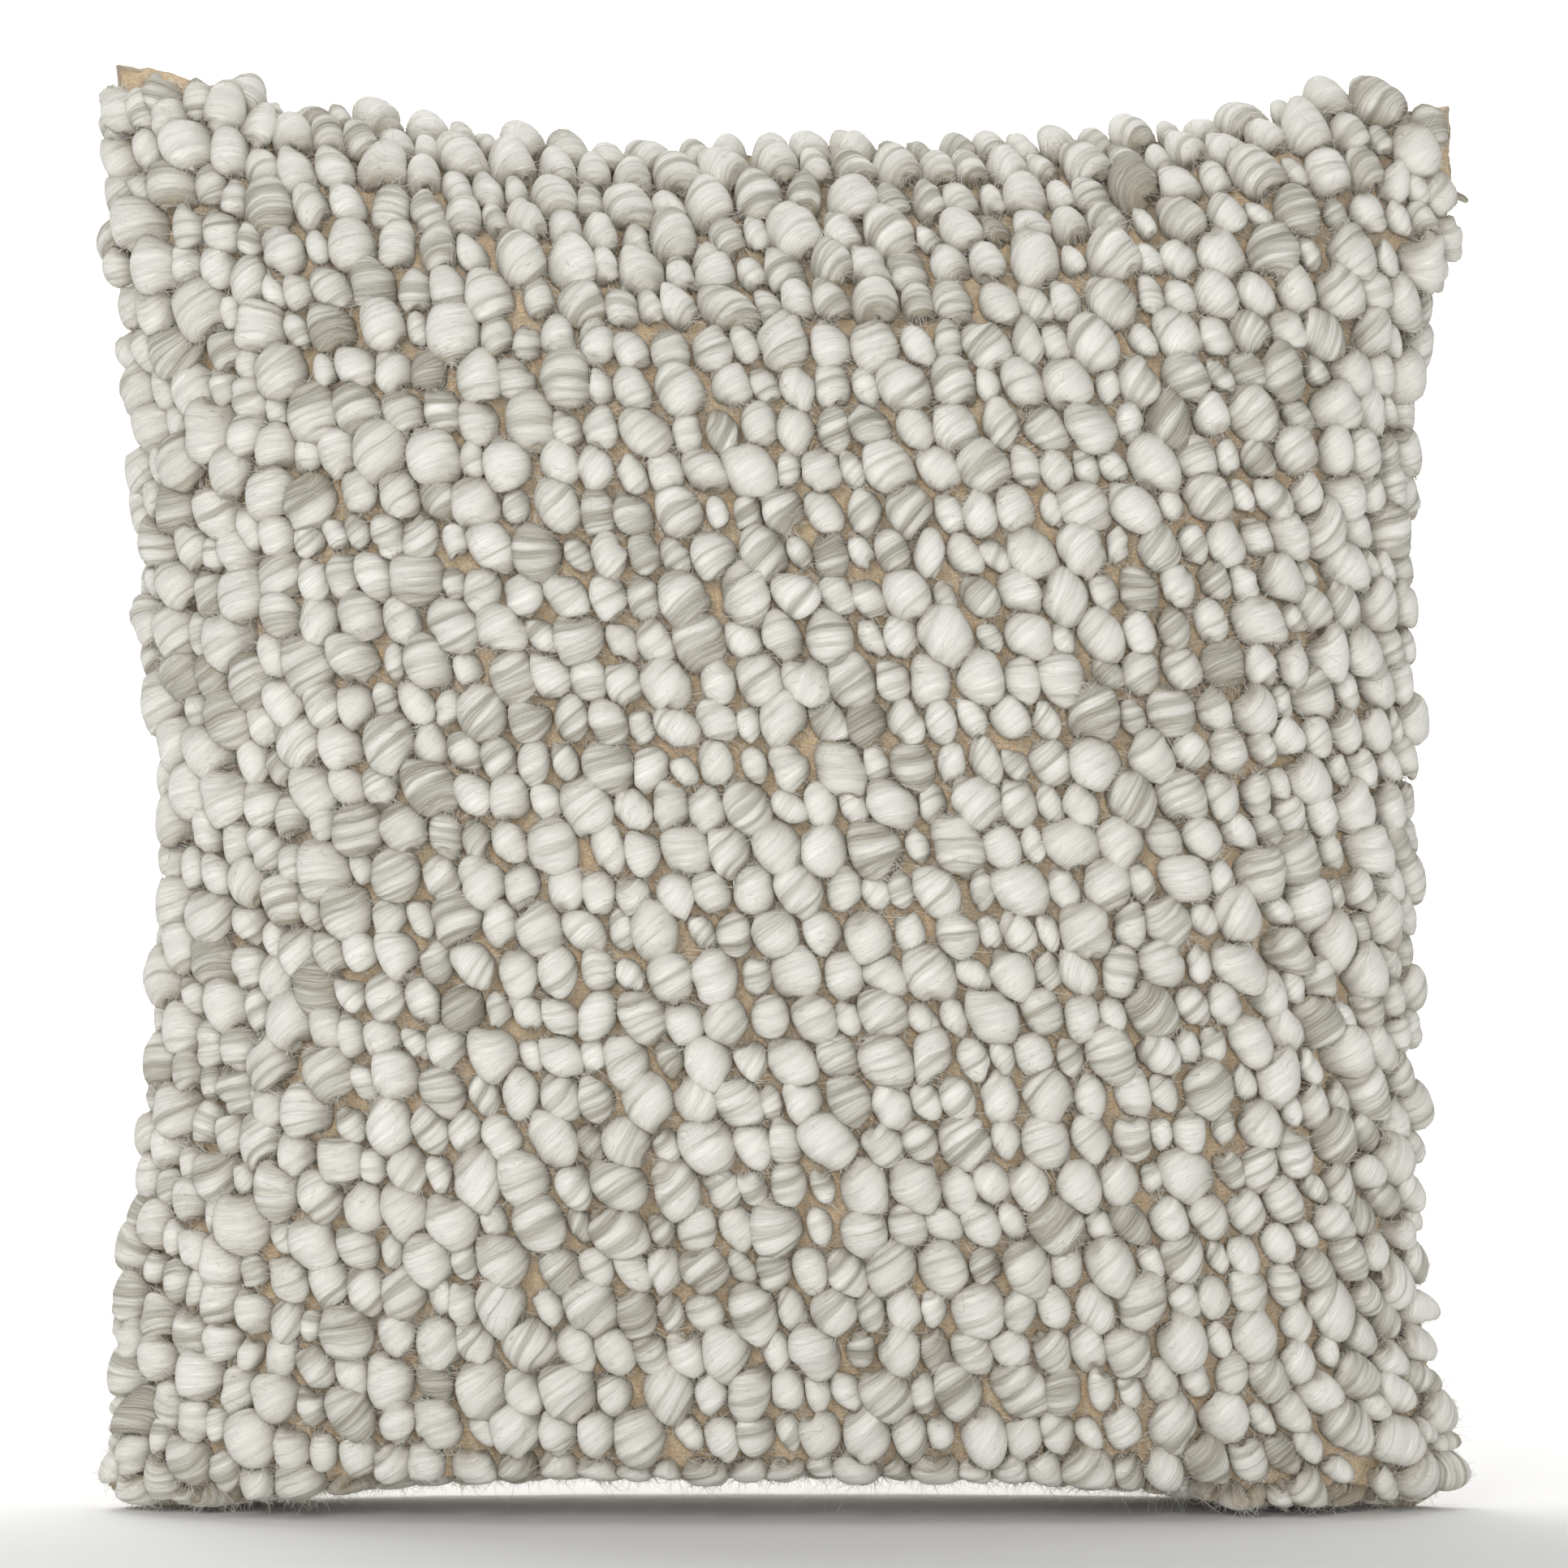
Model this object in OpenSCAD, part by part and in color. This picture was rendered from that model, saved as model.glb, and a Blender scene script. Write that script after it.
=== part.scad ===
/* [Cushion outline] */
// Width across the two bottom corners, along the seam
bottom_w = 481; // [440:1:520]
// Width across the two top corners
top_w = 475; // [440:1:520]
// Height of the left ear, the higher top corner
left_ear_z = 513; // [480:1:540]
// Height of the right ear
right_ear_z = 499; // [480:1:540]
// Height of the two bottom corners above the floor
foot_z = 7; // [4:1:12]
// How far each side pulls in at its middle
side_pull = 18; // [6:1:28]
// How far the top edge dips at its middle
top_pull = 23; // [8:1:32]
// How far the bottom edge rises at its middle
bottom_pull = 11; // [6:1:16]

/* [Fullness] */
// Depth of the front bulge, seam plane to ground cloth
front_t = 68; // [50:1:85]
// Depth of the back bulge
back_t = 72; // [60:1:85]
// Flatness of the crown: 2 is a plain dome, more is flatter
crown_flat = 2.6; // [2.2:0.1:3.2]
// Steepness of the crown at the seam: less is steeper
crown_edge = 0.5; // [0.46:0.01:0.6]

/* [Wool pile] */
// Weft rows of looped roving, bottom to top
rows = 37; // [28:1:40]
// Height of the loops over the ground cloth
pile_h = 13.5; // [9:0.5:16]
// Thickness of the woven ground cloth
cloth_t = 1.5; // [1:0.1:2]

/* [Back and zip] */
// Thickness of the back cloth
back_cloth_t = 1.2; // [0.8:0.1:1.5]
// Height of the zip above the floor
zip_z = 66; // [62:1:72]
// Half of the zip's working length
zip_half = 180; // [160:1:185]
// Gap between the two back panels over the zip
zip_gap = 10; // [9.5:0.5:12]
// Width of one zip tape
tape_w = 13; // [10:0.5:14]
// Thickness of the tape
tape_t = 0.6; // [0.4:0.1:0.7]
// Radius of one coil of the zip chain
coil_r = 1.1; // [1:0.05:1.15]

/* [Insert] */
// Space from the cover's outside to the insert's outside
insert_in = 7; // [6.5:0.5:10]
// Thickness of the insert's casing
casing_t = 0.8; // [0.6:0.1:1]

/* [Hidden] */

// the seam plane stands a little behind the middle of the whole thickness
seam_y = (front_t + pile_h - back_t) / 2;
mid_z = 250;      // the height that every inner layer shrinks towards
front_droop = 2.7; // how far the bulge sags towards the floor at the foot
back_droop = 2.6;
front_floor = 10; // the ground cloth stays this high over its feet, on its crushed loops
arch_h = 8;        // the bottom edge arches this far off the floor between its two feet
NU = 24;           // cells across the width
NB = 20;           // cells up the height, on the plain layers

function clampf(t, a, b) = max(a, min(b, t));
function mix(a, b, t) = a + (b - a) * t;
function smooth(a, b, t) = let (s = clampf((t - a) / (b - a), 0, 1)) s * s * (3 - 2 * s);
function prof(t) = pow(max(0, 1 - pow(abs(t), crown_flat)), crown_edge);

// the flat, concave-sided outline of the seam, u and v from -1 to 1
function flat_x(u, v) = u * (mix(bottom_w, top_w, (v + 1) / 2) / 2 - side_pull * (1 - v * v));
function flat_z(u, v) = let (top = mix(left_ear_z, right_ear_z, (u + 1) / 2) - top_pull * (1 - u * u),
  bot = foot_z + bottom_pull * (1 - u * u)) mix(bot, top, (v + 1) / 2);

// one face of the cushion, side -1 for the front and 1 for the back
function raw(side, u, v) = let (
    t = (side < 0 ? front_t : back_t) * prof(u) * prof(v),
    d = (side < 0 ? front_droop : back_droop) * t * pow((1 - v) / 2, 6))
  [flat_x(u, v), side * t, flat_z(u, v) - d];
function arch(u) = arch_h * max(0, 1 - pow(u / 0.72, 2));
function front_min(u) = min(front_floor + arch(u), flat_z(u, -1));
// over the zip the back is a plain leaning band, so that the zip's arcs fit it
function to_zip(p) = let (
    w = (1 - smooth(18, 50, abs(p.z - zip_z))) * (1 - smooth(zip_half + 6, zip_half + 32, abs(p.x))),
    y = sqrt(max(1, zip_R * zip_R - p.x * p.x)) - zip_R + zip_y0 + zip_slope * (p.z - zip_z))
  [p.x, mix(p.y, y, w), p.z];
function face(side, u, v) = let (p = raw(side, u, v))
  side < 0 ? [p.x, p.y, max(p.z, front_min(u))] : let (q = to_zip(p)) [q.x, q.y, max(q.z, min(arch(u), flat_z(u, -1)))];
// the same face, shrunk inwards by d
function layer(side, u, v, d) = let (p = face(side, u, v))
  [p.x * (1 - d / (bottom_w / 2)), p.y * (1 - d / (side < 0 ? front_t : back_t)),
   mid_z + (p.z - mid_z) * (1 - d / mid_z)];
function normal(side, u, v) = let (e = 0.004, a = clampf(u, -0.975, 0.975), b = clampf(v, -0.975, 0.975),
    du = raw(side, a + e, b) - raw(side, a - e, b), dv = raw(side, a, b + e) - raw(side, a, b - e),
    c = cross(du, dv)) -side * c / norm(c);

// lines that are evenly spaced along the cloth, not across the view
function arc_table(half, t0) = let (n = 80,
    ts = [for (i = [0:n]) -cos(180 * i / n)],
    seg = [for (i = [1:n]) norm([half * (ts[i] - ts[i - 1]), t0 * (prof(ts[i]) - prof(ts[i - 1]))])],
    run = [for (s = 0, i = 0; i <= n; s = s + (i < n ? seg[i] : 0), i = i + 1) s])
  [for (i = [0:n]) [run[i] / run[n], ts[i]]];
u_table = arc_table(bottom_w / 2, front_t);
v_table = arc_table(248, front_t);
function u_line(i) = i <= 0 ? -1 : i >= NU ? 1 : lookup(i / NU, u_table);
function v_line(j, n) = j <= 0 ? -1 : j >= n ? 1 : lookup(j / n, v_table);

// a closed skin between two grids of the same size: g[j][i] outside, h[j][i] inside
module shell(g, h, flip = false) {
  nj = len(g); ni = len(g[0]); n = nj * ni;
  function q(a, b, c, d, t = false) = t ? [[a, b, d], [b, c, d]] : [[a, b, c], [a, c, d]];
  // the diagonals run towards the corners, as the cloth's pull does
  function turn(j, i) = (j < (nj - 1) / 2) != (i < (ni - 1) / 2);
  quads = concat(
    [for (j = [0:nj - 2], i = [0:ni - 2]) each q(j * ni + i, (j + 1) * ni + i, (j + 1) * ni + i + 1, j * ni + i + 1, turn(j, i))],
    [for (j = [0:nj - 2], i = [0:ni - 2]) each q(n + j * ni + i, n + j * ni + i + 1, n + (j + 1) * ni + i + 1, n + (j + 1) * ni + i, turn(j, i))],
    [for (i = [0:ni - 2]) each q(i, i + 1, n + i + 1, n + i)],
    [for (i = [0:ni - 2]) each let (k = (nj - 1) * ni + i) q(k + 1, k, n + k, n + k + 1)],
    [for (j = [0:nj - 2]) each let (k = j * ni, m = k + ni) q(m, k, n + k, n + m)],
    [for (j = [0:nj - 2]) each let (k = j * ni + ni - 1, m = k + ni) q(k, m, n + m, n + k)]);
  polyhedron(points = concat([for (r = g) each r], [for (r = h) each r]),
    faces = flip ? [for (f = quads) [f[2], f[1], f[0]]] : quads);
}
// a solid swept through rings of equal size, closed at both ends or back to its start
module sweep(rings, loop = false) {
  n = len(rings); m = len(rings[0]);
  function q(a, b, c, d) = [[a, b, c], [a, c, d]];
  side = [for (i = [0:(loop ? n - 1 : n - 2)], k = [0:m - 1]) each let (i2 = (i + 1) % n, k2 = (k + 1) % m)
    q(i * m + k, i * m + k2, i2 * m + k2, i2 * m + k)];
  caps = loop ? [] : concat([for (k = [1:m - 2]) [0, k + 1, k]], [for (k = [1:m - 2]) [(n - 1) * m, (n - 1) * m + k, (n - 1) * m + k + 1]]);
  polyhedron(points = [for (r = rings) each r], faces = concat(side, caps));
}
function grid(side, vs, d) = [for (v = vs) [for (i = [0:NU]) layer(side, u_line(i), v, d)]];

// ---- front ----
row_vs = [for (j = [0:rows]) v_line(j, rows)];
plain_vs = [for (j = [0:NB]) v_line(j, NB)];

module front_ground_cloth() color([0.78, 0.68, 0.55]) translate([0, seam_y, 0])
  shell(grid(-1, row_vs, 0), grid(-1, row_vs, cloth_t));

// bare strips of cloth are left beside the corners
function row_i0(j) = j >= rows - 1 ? 4 : j >= rows - 2 ? 1 : j <= 0 ? 4 : j <= 1 ? 1 : 0;
function row_i1(j) = j >= rows - 1 ? NU - 2 : j >= rows - 4 ? NU - 1 : j <= 0 ? NU - 2 : NU;
// the lowest rows stand a little clearer of the cloth, where it turns under
function row_gap(j) = j <= 6 ? 2 : j >= rows - 5 ? 1.2 : 0.6;
function pile_at(u, v) = pile_h * (1 - 0.35 * pow(abs(u), 10)) * (1 - 0.35 * pow(abs(v), 10));
function pile_pt(u, v, h) = let (p = face(-1, u, v) + h * normal(-1, u, v)) [p.x, min(p.y, -0.3), arch(u) + crushed(p.z - arch(u))];
// the lowest loops are pressed flat by the cushion's weight
function crushed(t) = t >= 15 ? t : max(0, (t - 3) * 1.25);
function row_profile(j) = let (m = j <= 5 ? 0.16 : 0.03) [[m, 0], [m, 0.55], [0.27, 1], [0.73, 1], [1 - m, 0.55], [1 - m, 0]];
function row_ring(j, u) = [for (p = row_profile(j)) let (v = mix(row_vs[j], row_vs[j + 1], p[0]))
  pile_pt(u, v, mix(row_gap(j), pile_at(u, v), p[1]))];
module wool_row(j) sweep([for (i = [row_i0(j):row_i1(j)]) row_ring(j, u_line(i))]);
module wool_roving_rows() color([0.86, 0.84, 0.79]) translate([0, seam_y, 0])
  for (j = [0:rows - 1]) wool_row(j);

// a straight stitch lying on a face, from one pair of u, v to another
module stitch(side, a, b, lift, r) {
  p = face(side, a[0], a[1]) + lift * normal(side, a[0], a[1]);
  q = face(side, b[0], b[1]) + lift * normal(side, b[0], b[1]);
  d = q - p; l = norm(d);
  translate(p) rotate([0, acos(d.z / l), atan2(d.y, d.x)]) cylinder(h = l, r = r, $fn = 24);
}
module corner_stitches() color([0.72, 0.60, 0.46]) translate([0, seam_y, 0]) {
  for (k = [0:6]) stitch(-1, [-0.965 + k * 0.021, 0.985], [-0.952 + k * 0.021, 0.985], 1.1, 0.4);
  for (k = [0:5]) stitch(-1, [0.975, 0.90 + k * 0.015], [0.975, 0.909 + k * 0.015], 1.1, 0.4);
  for (k = [0:7]) stitch(-1, [-0.96 + k * 0.021, -0.985], [-0.947 + k * 0.021, -0.985], 1.1, 0.4);
}

// ---- back ----
function z_back(u, v) = raw(1, u, v).z;
// the v at which the back stands at height z, at this u
function v_at(u, z, lo = -0.86, hi = 0.6, n = 24) = n == 0 ? (lo + hi) / 2 :
  let (m = (lo + hi) / 2) z_back(u, m) < z ? v_at(u, z, m, hi, n - 1) : v_at(u, z, lo, m, n - 1);
function half_gap(x) = mix(zip_gap / 2, 0.08, smooth(zip_half + 3, zip_half + 16, abs(x)));
function edge_x(u) = u * (bottom_w / 2 - side_pull * 0.6);
function cut_v(u, s) = v_at(u, zip_z + s * half_gap(edge_x(u)));
// extra lines across where the opening closes
u_back = let (c = (zip_half + 3) / (bottom_w / 2 - side_pull * 0.6), w = 13 / (bottom_w / 2 - side_pull * 0.6),
    a = [for (i = [0:NU]) u_line(i)], near = [c, c + w / 3, c + 2 * w / 3, c + w])
  concat([for (u = a) if (u < -c - w - 0.012) u], [for (k = [3:-1:0]) -near[k]],
    [for (u = a) if (abs(u) < c - 0.012) u], near, [for (u = a) if (u > c + w + 0.012) u]);
function back_grid(s0, d) = s0 > 0
  ? [for (j = [0:16]) [for (u = u_back) let (v0 = cut_v(u, 1)) layer(1, u, j == 16 ? 1 : mix(v0, 1, up_line(j / 16, v0)), d)]]
  : [for (j = [0:10]) [for (u = u_back) let (v1 = cut_v(u, -1)) layer(1, u, j == 0 ? -1 : mix(-1, v1, dn_line(j / 10)), d)]];
function up_line(t, v0) = mix(t, (1 - cos(180 * t)) / 2, 0.75);
function dn_line(t) = mix(t, (1 - cos(180 * t)) / 2, 0.6);

module back_panel_upper() color([0.80, 0.73, 0.62]) translate([0, seam_y, 0])
  shell(back_grid(1, 0), back_grid(1, back_cloth_t), true);
module back_panel_lower() color([0.80, 0.73, 0.62]) translate([0, seam_y, 0])
  shell(back_grid(-1, 0), back_grid(-1, back_cloth_t), true);

// the thread of the edge seam, inside the cover on the seam line
function outline(k, n, d) = let (t = k / n * 4, s = floor(t), f = t - s, w = -cos(180 * f),
    p = s == 0 ? [w, -1] : s == 1 ? [1, w] : s == 2 ? [-w, 1] : [-1, -w],
    x = flat_x(p[0], p[1]), z = flat_z(p[0], p[1]))
  [x * (1 - d / (bottom_w / 2)), mid_z + (z - mid_z) * (1 - d / mid_z)];
module seam_loop(d, r) {
  n = 88;
  pts = [for (k = [0:n - 1]) outline(k, n, d)];
  sweep([for (k = [0:n - 1]) let (p = pts[k], a = pts[(k + n - 1) % n], b = pts[(k + 1) % n], g = b - a, o = [g.y, -g.x] / norm(g))
    [for (m = [0:5]) let (c = cos(60 * m) * r, e = sin(60 * m) * r) [p.x + o.x * c, e, p.y + o.y * c]]], true);
}
module edge_seam_thread() color([0.90, 0.86, 0.78]) translate([0, seam_y, 0]) seam_loop(3.6, 0.7);

// ---- zip: every long piece is an arc about one upright axis ----
// the plain back's depth at the zip, before it is drawn to the band
function zip_surface_y(x, dz = 0) = let (u = x / (bottom_w / 2 - side_pull * 0.6)) raw(1, u, v_at(u, zip_z + dz)).y;
zip_y0 = zip_surface_y(0);
zip_sag = zip_y0 - zip_surface_y(zip_half);
zip_slope = (zip_surface_y(90, 12) - zip_surface_y(90, -12)) / 24;
lean = atan(zip_slope);             // the zip leans outwards with the cloth
zip_R = (zip_half * zip_half + zip_sag * zip_sag) / (2 * zip_sag);
axis_y = seam_y + zip_y0 - zip_R;   // the upright axis stands in front of the cushion
sink = 2;                           // the middle of the chain lies this far under the cloth's face
chain_r = zip_R - sink * cos(lean); // radius of the middle of the tape and chain
chain_z = zip_z + sink * sin(lean);
end_a = asin(zip_half / zip_R);     // half angle of the zip
rest_a = asin((zip_half - 10) / zip_R); // half angle of the slider's travel

// sweeps a flat section, x outwards and y up, round the upright axis
module arc(a0, a1) translate([0, axis_y, chain_z]) rotate([0, 0, 90 - a1]) rotate_extrude(angle = a1 - a0, $fn = 256)
  translate([chain_r, 0]) rotate(-lean) children();
// places its children on the zip, a degrees from the middle towards +X: x runs along the zip, y outwards
module on_zip(a) translate([0, axis_y, chain_z]) rotate([0, 0, -a]) translate([0, chain_r, 0]) rotate([-lean, 0, 0]) children();

module zip_tape(s) arc(-end_a, end_a)
  translate([-tape_t / 2, s > 0 ? 1.75 + coil_r + 0.05 : -1.75 - coil_r - 0.05 - tape_w]) square([tape_t, tape_w]);
module zip_tape_upper() color([0.88, 0.84, 0.76]) zip_tape(1);
module zip_tape_lower() color([0.88, 0.84, 0.76]) zip_tape(-1);
module zip_coil(s) arc(-end_a + 0.25, end_a - 0.25) translate([0, s * 1.75]) circle(r = coil_r, $fn = 24);
module zip_coil_upper() color([0.90, 0.87, 0.80]) zip_coil(1);
module zip_coil_lower() color([0.90, 0.87, 0.80]) zip_coil(-1);

// small clamps just past the slider's two ends of travel
module clamp_at(a, h0, h1) on_zip(a) difference() {
  translate([-1.2, -1.9, h0]) cube([2.4, 3.8, h1 - h0]);
  translate([-2, -1.25, h0 - 1]) cube([4, 2.5, h1 - h0 + 2]);
}
stop_a = asin((zip_half - 10 + 6 + 1.9) / zip_R);
module zip_top_stops() color([0.72, 0.72, 0.70]) {
  clamp_at(stop_a, 0.7, 2.8);
  clamp_at(stop_a, -2.8, -0.7);
}
module zip_bottom_stop() color([0.72, 0.72, 0.70]) clamp_at(-stop_a, -2.8, 2.8);

// slider: two wings joined by a thin web between the coils, and a bridge for the tab
module slider_wing(y0, y1, rim) {
  translate([0, y0, 0]) linear_extrude_y(y1 - y0) difference() {
    square([12, 8], center = true);
    for (i = [-1, 1], j = [-1, 1]) translate([i * 6, j * 4]) difference() {
      square(2.4, center = true);
      translate([-i * 1.2, -j * 1.2]) circle(r = 1.2, $fn = 32);
    }
  }
}
module linear_extrude_y(h) translate([0, h, 0]) rotate([90, 0, 0]) linear_extrude(h) children();
module zip_slider() color([0.70, 0.69, 0.66]) on_zip(rest_a) {
  slider_wing(1.5, 2.6);
  slider_wing(-2.6, -1.5);
  translate([2.2, -2, -0.3]) cube([3, 4, 0.6]);
  for (s = [-1, 1]) {
    translate([-4.6, 0.75, s > 0 ? 3.3 : -4]) cube([9.2, 0.9, 0.7]);
    translate([-4.6, -1.65, s > 0 ? 3.3 : -4]) cube([9.2, 0.9, 0.7]);
  }
  // bridge
  difference() {
    translate([-4.6, 2.5, -0.8]) cube([9.2, 3.8, 1.6]);
    translate([-3.4, 2.6, -1]) cube([6.8, 2.6, 2]);
  }
}
// pull tab: its round bar turns under the bridge
tab_y = 3.9; // height of the bar's axis over the middle of the chain
module zip_pull_tab() color([0.70, 0.69, 0.66]) on_zip(rest_a) translate([0, tab_y, 0]) {
  translate([0, 0, -2.7]) cylinder(h = 5.4, r = 0.7, $fn = 48);
  for (s = [-1, 1]) translate([-6, -0.6, s > 0 ? 1.3 : -2.7]) cube([6, 1.2, 1.4]);
  translate([0, -0.6, 0]) linear_extrude_y(1.2) difference() {
    union() {
      translate([-16, -2.7]) square([10.4, 5.4]);
      translate([-16, 0]) scale([1, 1]) circle(r = 3.4, $fn = 64);
      translate([-22, 0]) circle(r = 2.7, $fn = 64);
      translate([-22, -2.7]) square([6, 5.4]);
    }
    translate([-20.5, 0]) circle(r = 1.1, $fn = 32);
  }
}

// rows of stitches that hold the tapes, laid on the panels
module zip_stitches(s) {
  n = 86; pitch = 2 * zip_half / n; w = bottom_w / 2 - side_pull * 0.6;
  for (k = [0:n - 1]) let (x0 = -zip_half + k * pitch, u0 = x0 / w, u1 = (x0 + pitch * 0.76) / w, z = zip_z + s * (zip_gap / 2 + 3.2))
    stitch(1, [u0, v_at(u0, z)], [u1, v_at(u1, z)], 0.8, 0.3);
}
module zip_topstitch_upper() color([0.93, 0.90, 0.83]) translate([0, seam_y, 0]) zip_stitches(1);
module zip_topstitch_lower() color([0.93, 0.90, 0.83]) translate([0, seam_y, 0]) zip_stitches(-1);

// ---- insert ----
module insert_casing_front() color([0.95, 0.95, 0.93]) translate([0, seam_y, 0])
  shell(grid(-1, plain_vs, insert_in), grid(-1, plain_vs, insert_in + casing_t));
module insert_casing_back() color([0.95, 0.95, 0.93]) translate([0, seam_y, 0])
  shell(grid(1, plain_vs, insert_in), grid(1, plain_vs, insert_in + casing_t), true);
module insert_seam_thread() color([0.97, 0.97, 0.95]) translate([0, seam_y, 0]) seam_loop(insert_in + casing_t + 1.7, 0.5);
module insert_fill() color([0.98, 0.98, 0.97]) translate([0, seam_y, 0]) fill_solid(insert_in + casing_t + 3.6);
module fill_solid(d) {
  // front and back faces share the seam's points, so the two sheets close on each other
  f = grid(-1, plain_vs, d); b = grid(1, plain_vs, d);
  ni = NU + 1; nj = NB + 1;
  inner = [for (j = [1:nj - 2]) [for (i = [1:ni - 2]) b[j][i]]];
  function fi(j, i) = j * ni + i;
  function turn(j, i) = (j < (nj - 1) / 2) != (i < (ni - 1) / 2);
  function bi(j, i) = j == 0 || i == 0 || j == nj - 1 || i == ni - 1 ? fi(j, i) : nj * ni + (j - 1) * (ni - 2) + i - 1;
  polyhedron(points = concat([for (r = f) each r], [for (r = inner) each r]),
    faces = concat(
      [for (j = [0:nj - 2], i = [0:ni - 2]) each turn(j, i)
        ? [[fi(j, i), fi(j + 1, i), fi(j, i + 1)], [fi(j + 1, i), fi(j + 1, i + 1), fi(j, i + 1)]]
        : [[fi(j, i), fi(j + 1, i), fi(j + 1, i + 1)], [fi(j, i), fi(j + 1, i + 1), fi(j, i + 1)]]],
      [for (j = [0:nj - 2], i = [0:ni - 2]) each turn(j, i)
        ? [[bi(j, i), bi(j, i + 1), bi(j + 1, i)], [bi(j + 1, i), bi(j, i + 1), bi(j + 1, i + 1)]]
        : [[bi(j, i), bi(j + 1, i + 1), bi(j + 1, i)], [bi(j, i), bi(j, i + 1), bi(j + 1, i + 1)]]]));
}

front_ground_cloth();
wool_roving_rows();
corner_stitches();
back_panel_upper();
back_panel_lower();
edge_seam_thread();
zip_tape_upper();
zip_tape_lower();
zip_coil_upper();
zip_coil_lower();
zip_top_stops();
zip_bottom_stop();
zip_slider();
zip_pull_tab();
zip_topstitch_upper();
zip_topstitch_lower();
insert_casing_front();
insert_casing_back();
insert_seam_thread();
insert_fill();
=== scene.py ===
import math
import bpy
import numpy as np
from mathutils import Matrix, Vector


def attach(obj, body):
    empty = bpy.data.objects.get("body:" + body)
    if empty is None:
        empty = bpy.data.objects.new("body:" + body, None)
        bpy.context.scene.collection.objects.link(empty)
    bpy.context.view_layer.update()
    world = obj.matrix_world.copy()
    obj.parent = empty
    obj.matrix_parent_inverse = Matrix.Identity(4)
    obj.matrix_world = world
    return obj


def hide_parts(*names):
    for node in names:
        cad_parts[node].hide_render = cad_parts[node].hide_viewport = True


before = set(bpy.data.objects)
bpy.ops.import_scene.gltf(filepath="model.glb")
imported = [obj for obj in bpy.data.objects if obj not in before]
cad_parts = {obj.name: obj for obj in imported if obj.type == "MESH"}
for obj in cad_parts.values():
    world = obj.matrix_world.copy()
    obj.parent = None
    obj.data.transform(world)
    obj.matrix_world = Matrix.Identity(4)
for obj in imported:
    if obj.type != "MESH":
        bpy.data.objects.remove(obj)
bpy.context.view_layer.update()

rng = np.random.default_rng(20)
MM = 0.001

# ---------------------------------------------------------------- the cushion's own shape, in mm
BW, TW, LE, RE, FOOT, SP, TP, BP = 481.0, 475.0, 513.0, 499.0, 7.0, 18.0, 23.0, 11.0
FT, BT, CF, CE = 68.0, 72.0, 2.6, 0.5
PILE, CLOTH, BCLOTH = 13.5, 1.5, 1.2
SEAM_Y = (FT + PILE - BT) / 2
MID_Z = 250.0
ZIP_Z, ZIP_HALF, ZIP_GAP = 66.0, 180.0, 10.0
ROWS = 37


def mix(a, b, t):
    return a + (b - a) * t


def smooth(a, b, t):
    s = np.clip((t - a) / (b - a), 0, 1)
    return s * s * (3 - 2 * s)


def prof(t):
    return np.maximum(0, 1 - np.abs(t) ** CF) ** CE


def flat_x(u, v):
    return u * (mix(BW, TW, (v + 1) / 2) / 2 - SP * (1 - v * v))


def flat_z(u, v):
    top = mix(LE, RE, (u + 1) / 2) - TP * (1 - u * u)
    bot = FOOT + BP * (1 - u * u)
    return mix(bot, top, (v + 1) / 2)


def raw(side, u, v):
    t = (FT if side < 0 else BT) * prof(u) * prof(v)
    d = (2.7 if side < 0 else 2.6) * t * ((1 - v) / 2) ** 6
    return np.stack([flat_x(u, v), side * t, flat_z(u, v) - d], -1)


def v_at(u, z, lo=-0.86, hi=0.6):
    u, z = np.broadcast_arrays(np.asarray(u, float), np.asarray(z, float))
    a, b = np.full(u.shape, lo), np.full(u.shape, hi)
    for _ in range(26):
        m = (a + b) / 2
        low = raw(1, u, m)[..., 2] < z
        a, b = np.where(low, m, a), np.where(low, b, m)
    return (a + b) / 2


HALF_E = BW / 2 - SP * 0.6


def zip_y(x, dz=0.0):
    u = np.asarray(x, float) / HALF_E
    return raw(1, u, v_at(u, ZIP_Z + dz))[..., 1]


ZIP_SLOPE = float((zip_y(90.0, 12.0) - zip_y(90.0, -12.0)) / 24)
LEAN = math.atan(ZIP_SLOPE)
ZIP_Y0 = float(zip_y(0.0))
ZIP_SAG = ZIP_Y0 - float(zip_y(ZIP_HALF))
ZIP_R = (ZIP_HALF**2 + ZIP_SAG**2) / (2 * ZIP_SAG)
AXIS_Y = SEAM_Y + ZIP_Y0 - ZIP_R
CHAIN_R = ZIP_R - 2 * math.cos(LEAN)
CHAIN_Z = ZIP_Z + 2 * math.sin(LEAN)
END_A = math.asin(ZIP_HALF / ZIP_R)
REST_A = math.asin((ZIP_HALF - 10) / ZIP_R)


def arch(u):
    return 13.0 * np.maximum(0, 1 - np.abs((u + 0.08) / 0.76) ** 3.2)


SIDE_V = [-1, -0.9, -0.65, -0.4, -0.25, 0, 0.12, 0.24, 0.36, 0.49, 0.61, 0.74, 0.87, 1]
LEFT_X = [0, 2, 0, 2, 2, 3.5, 1.5, -3, -3, -1, -3.5, -4, -1, 0]
RIGHT_X = [-5, -4, -6, -2, 0, 0, 0, -1, -5, -5, -6, 0, 4.5, 0]
TOP_U = [-1, -0.94, -0.86, -0.76, -0.6, -0.47, -0.2, 0, 0.3, 0.6, 0.74, 0.88, 1]
TOP_Z = [1, 2, 1.5, -8, -3, -5, -6, 0, 0, 1, 4, 2, 0]


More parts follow.
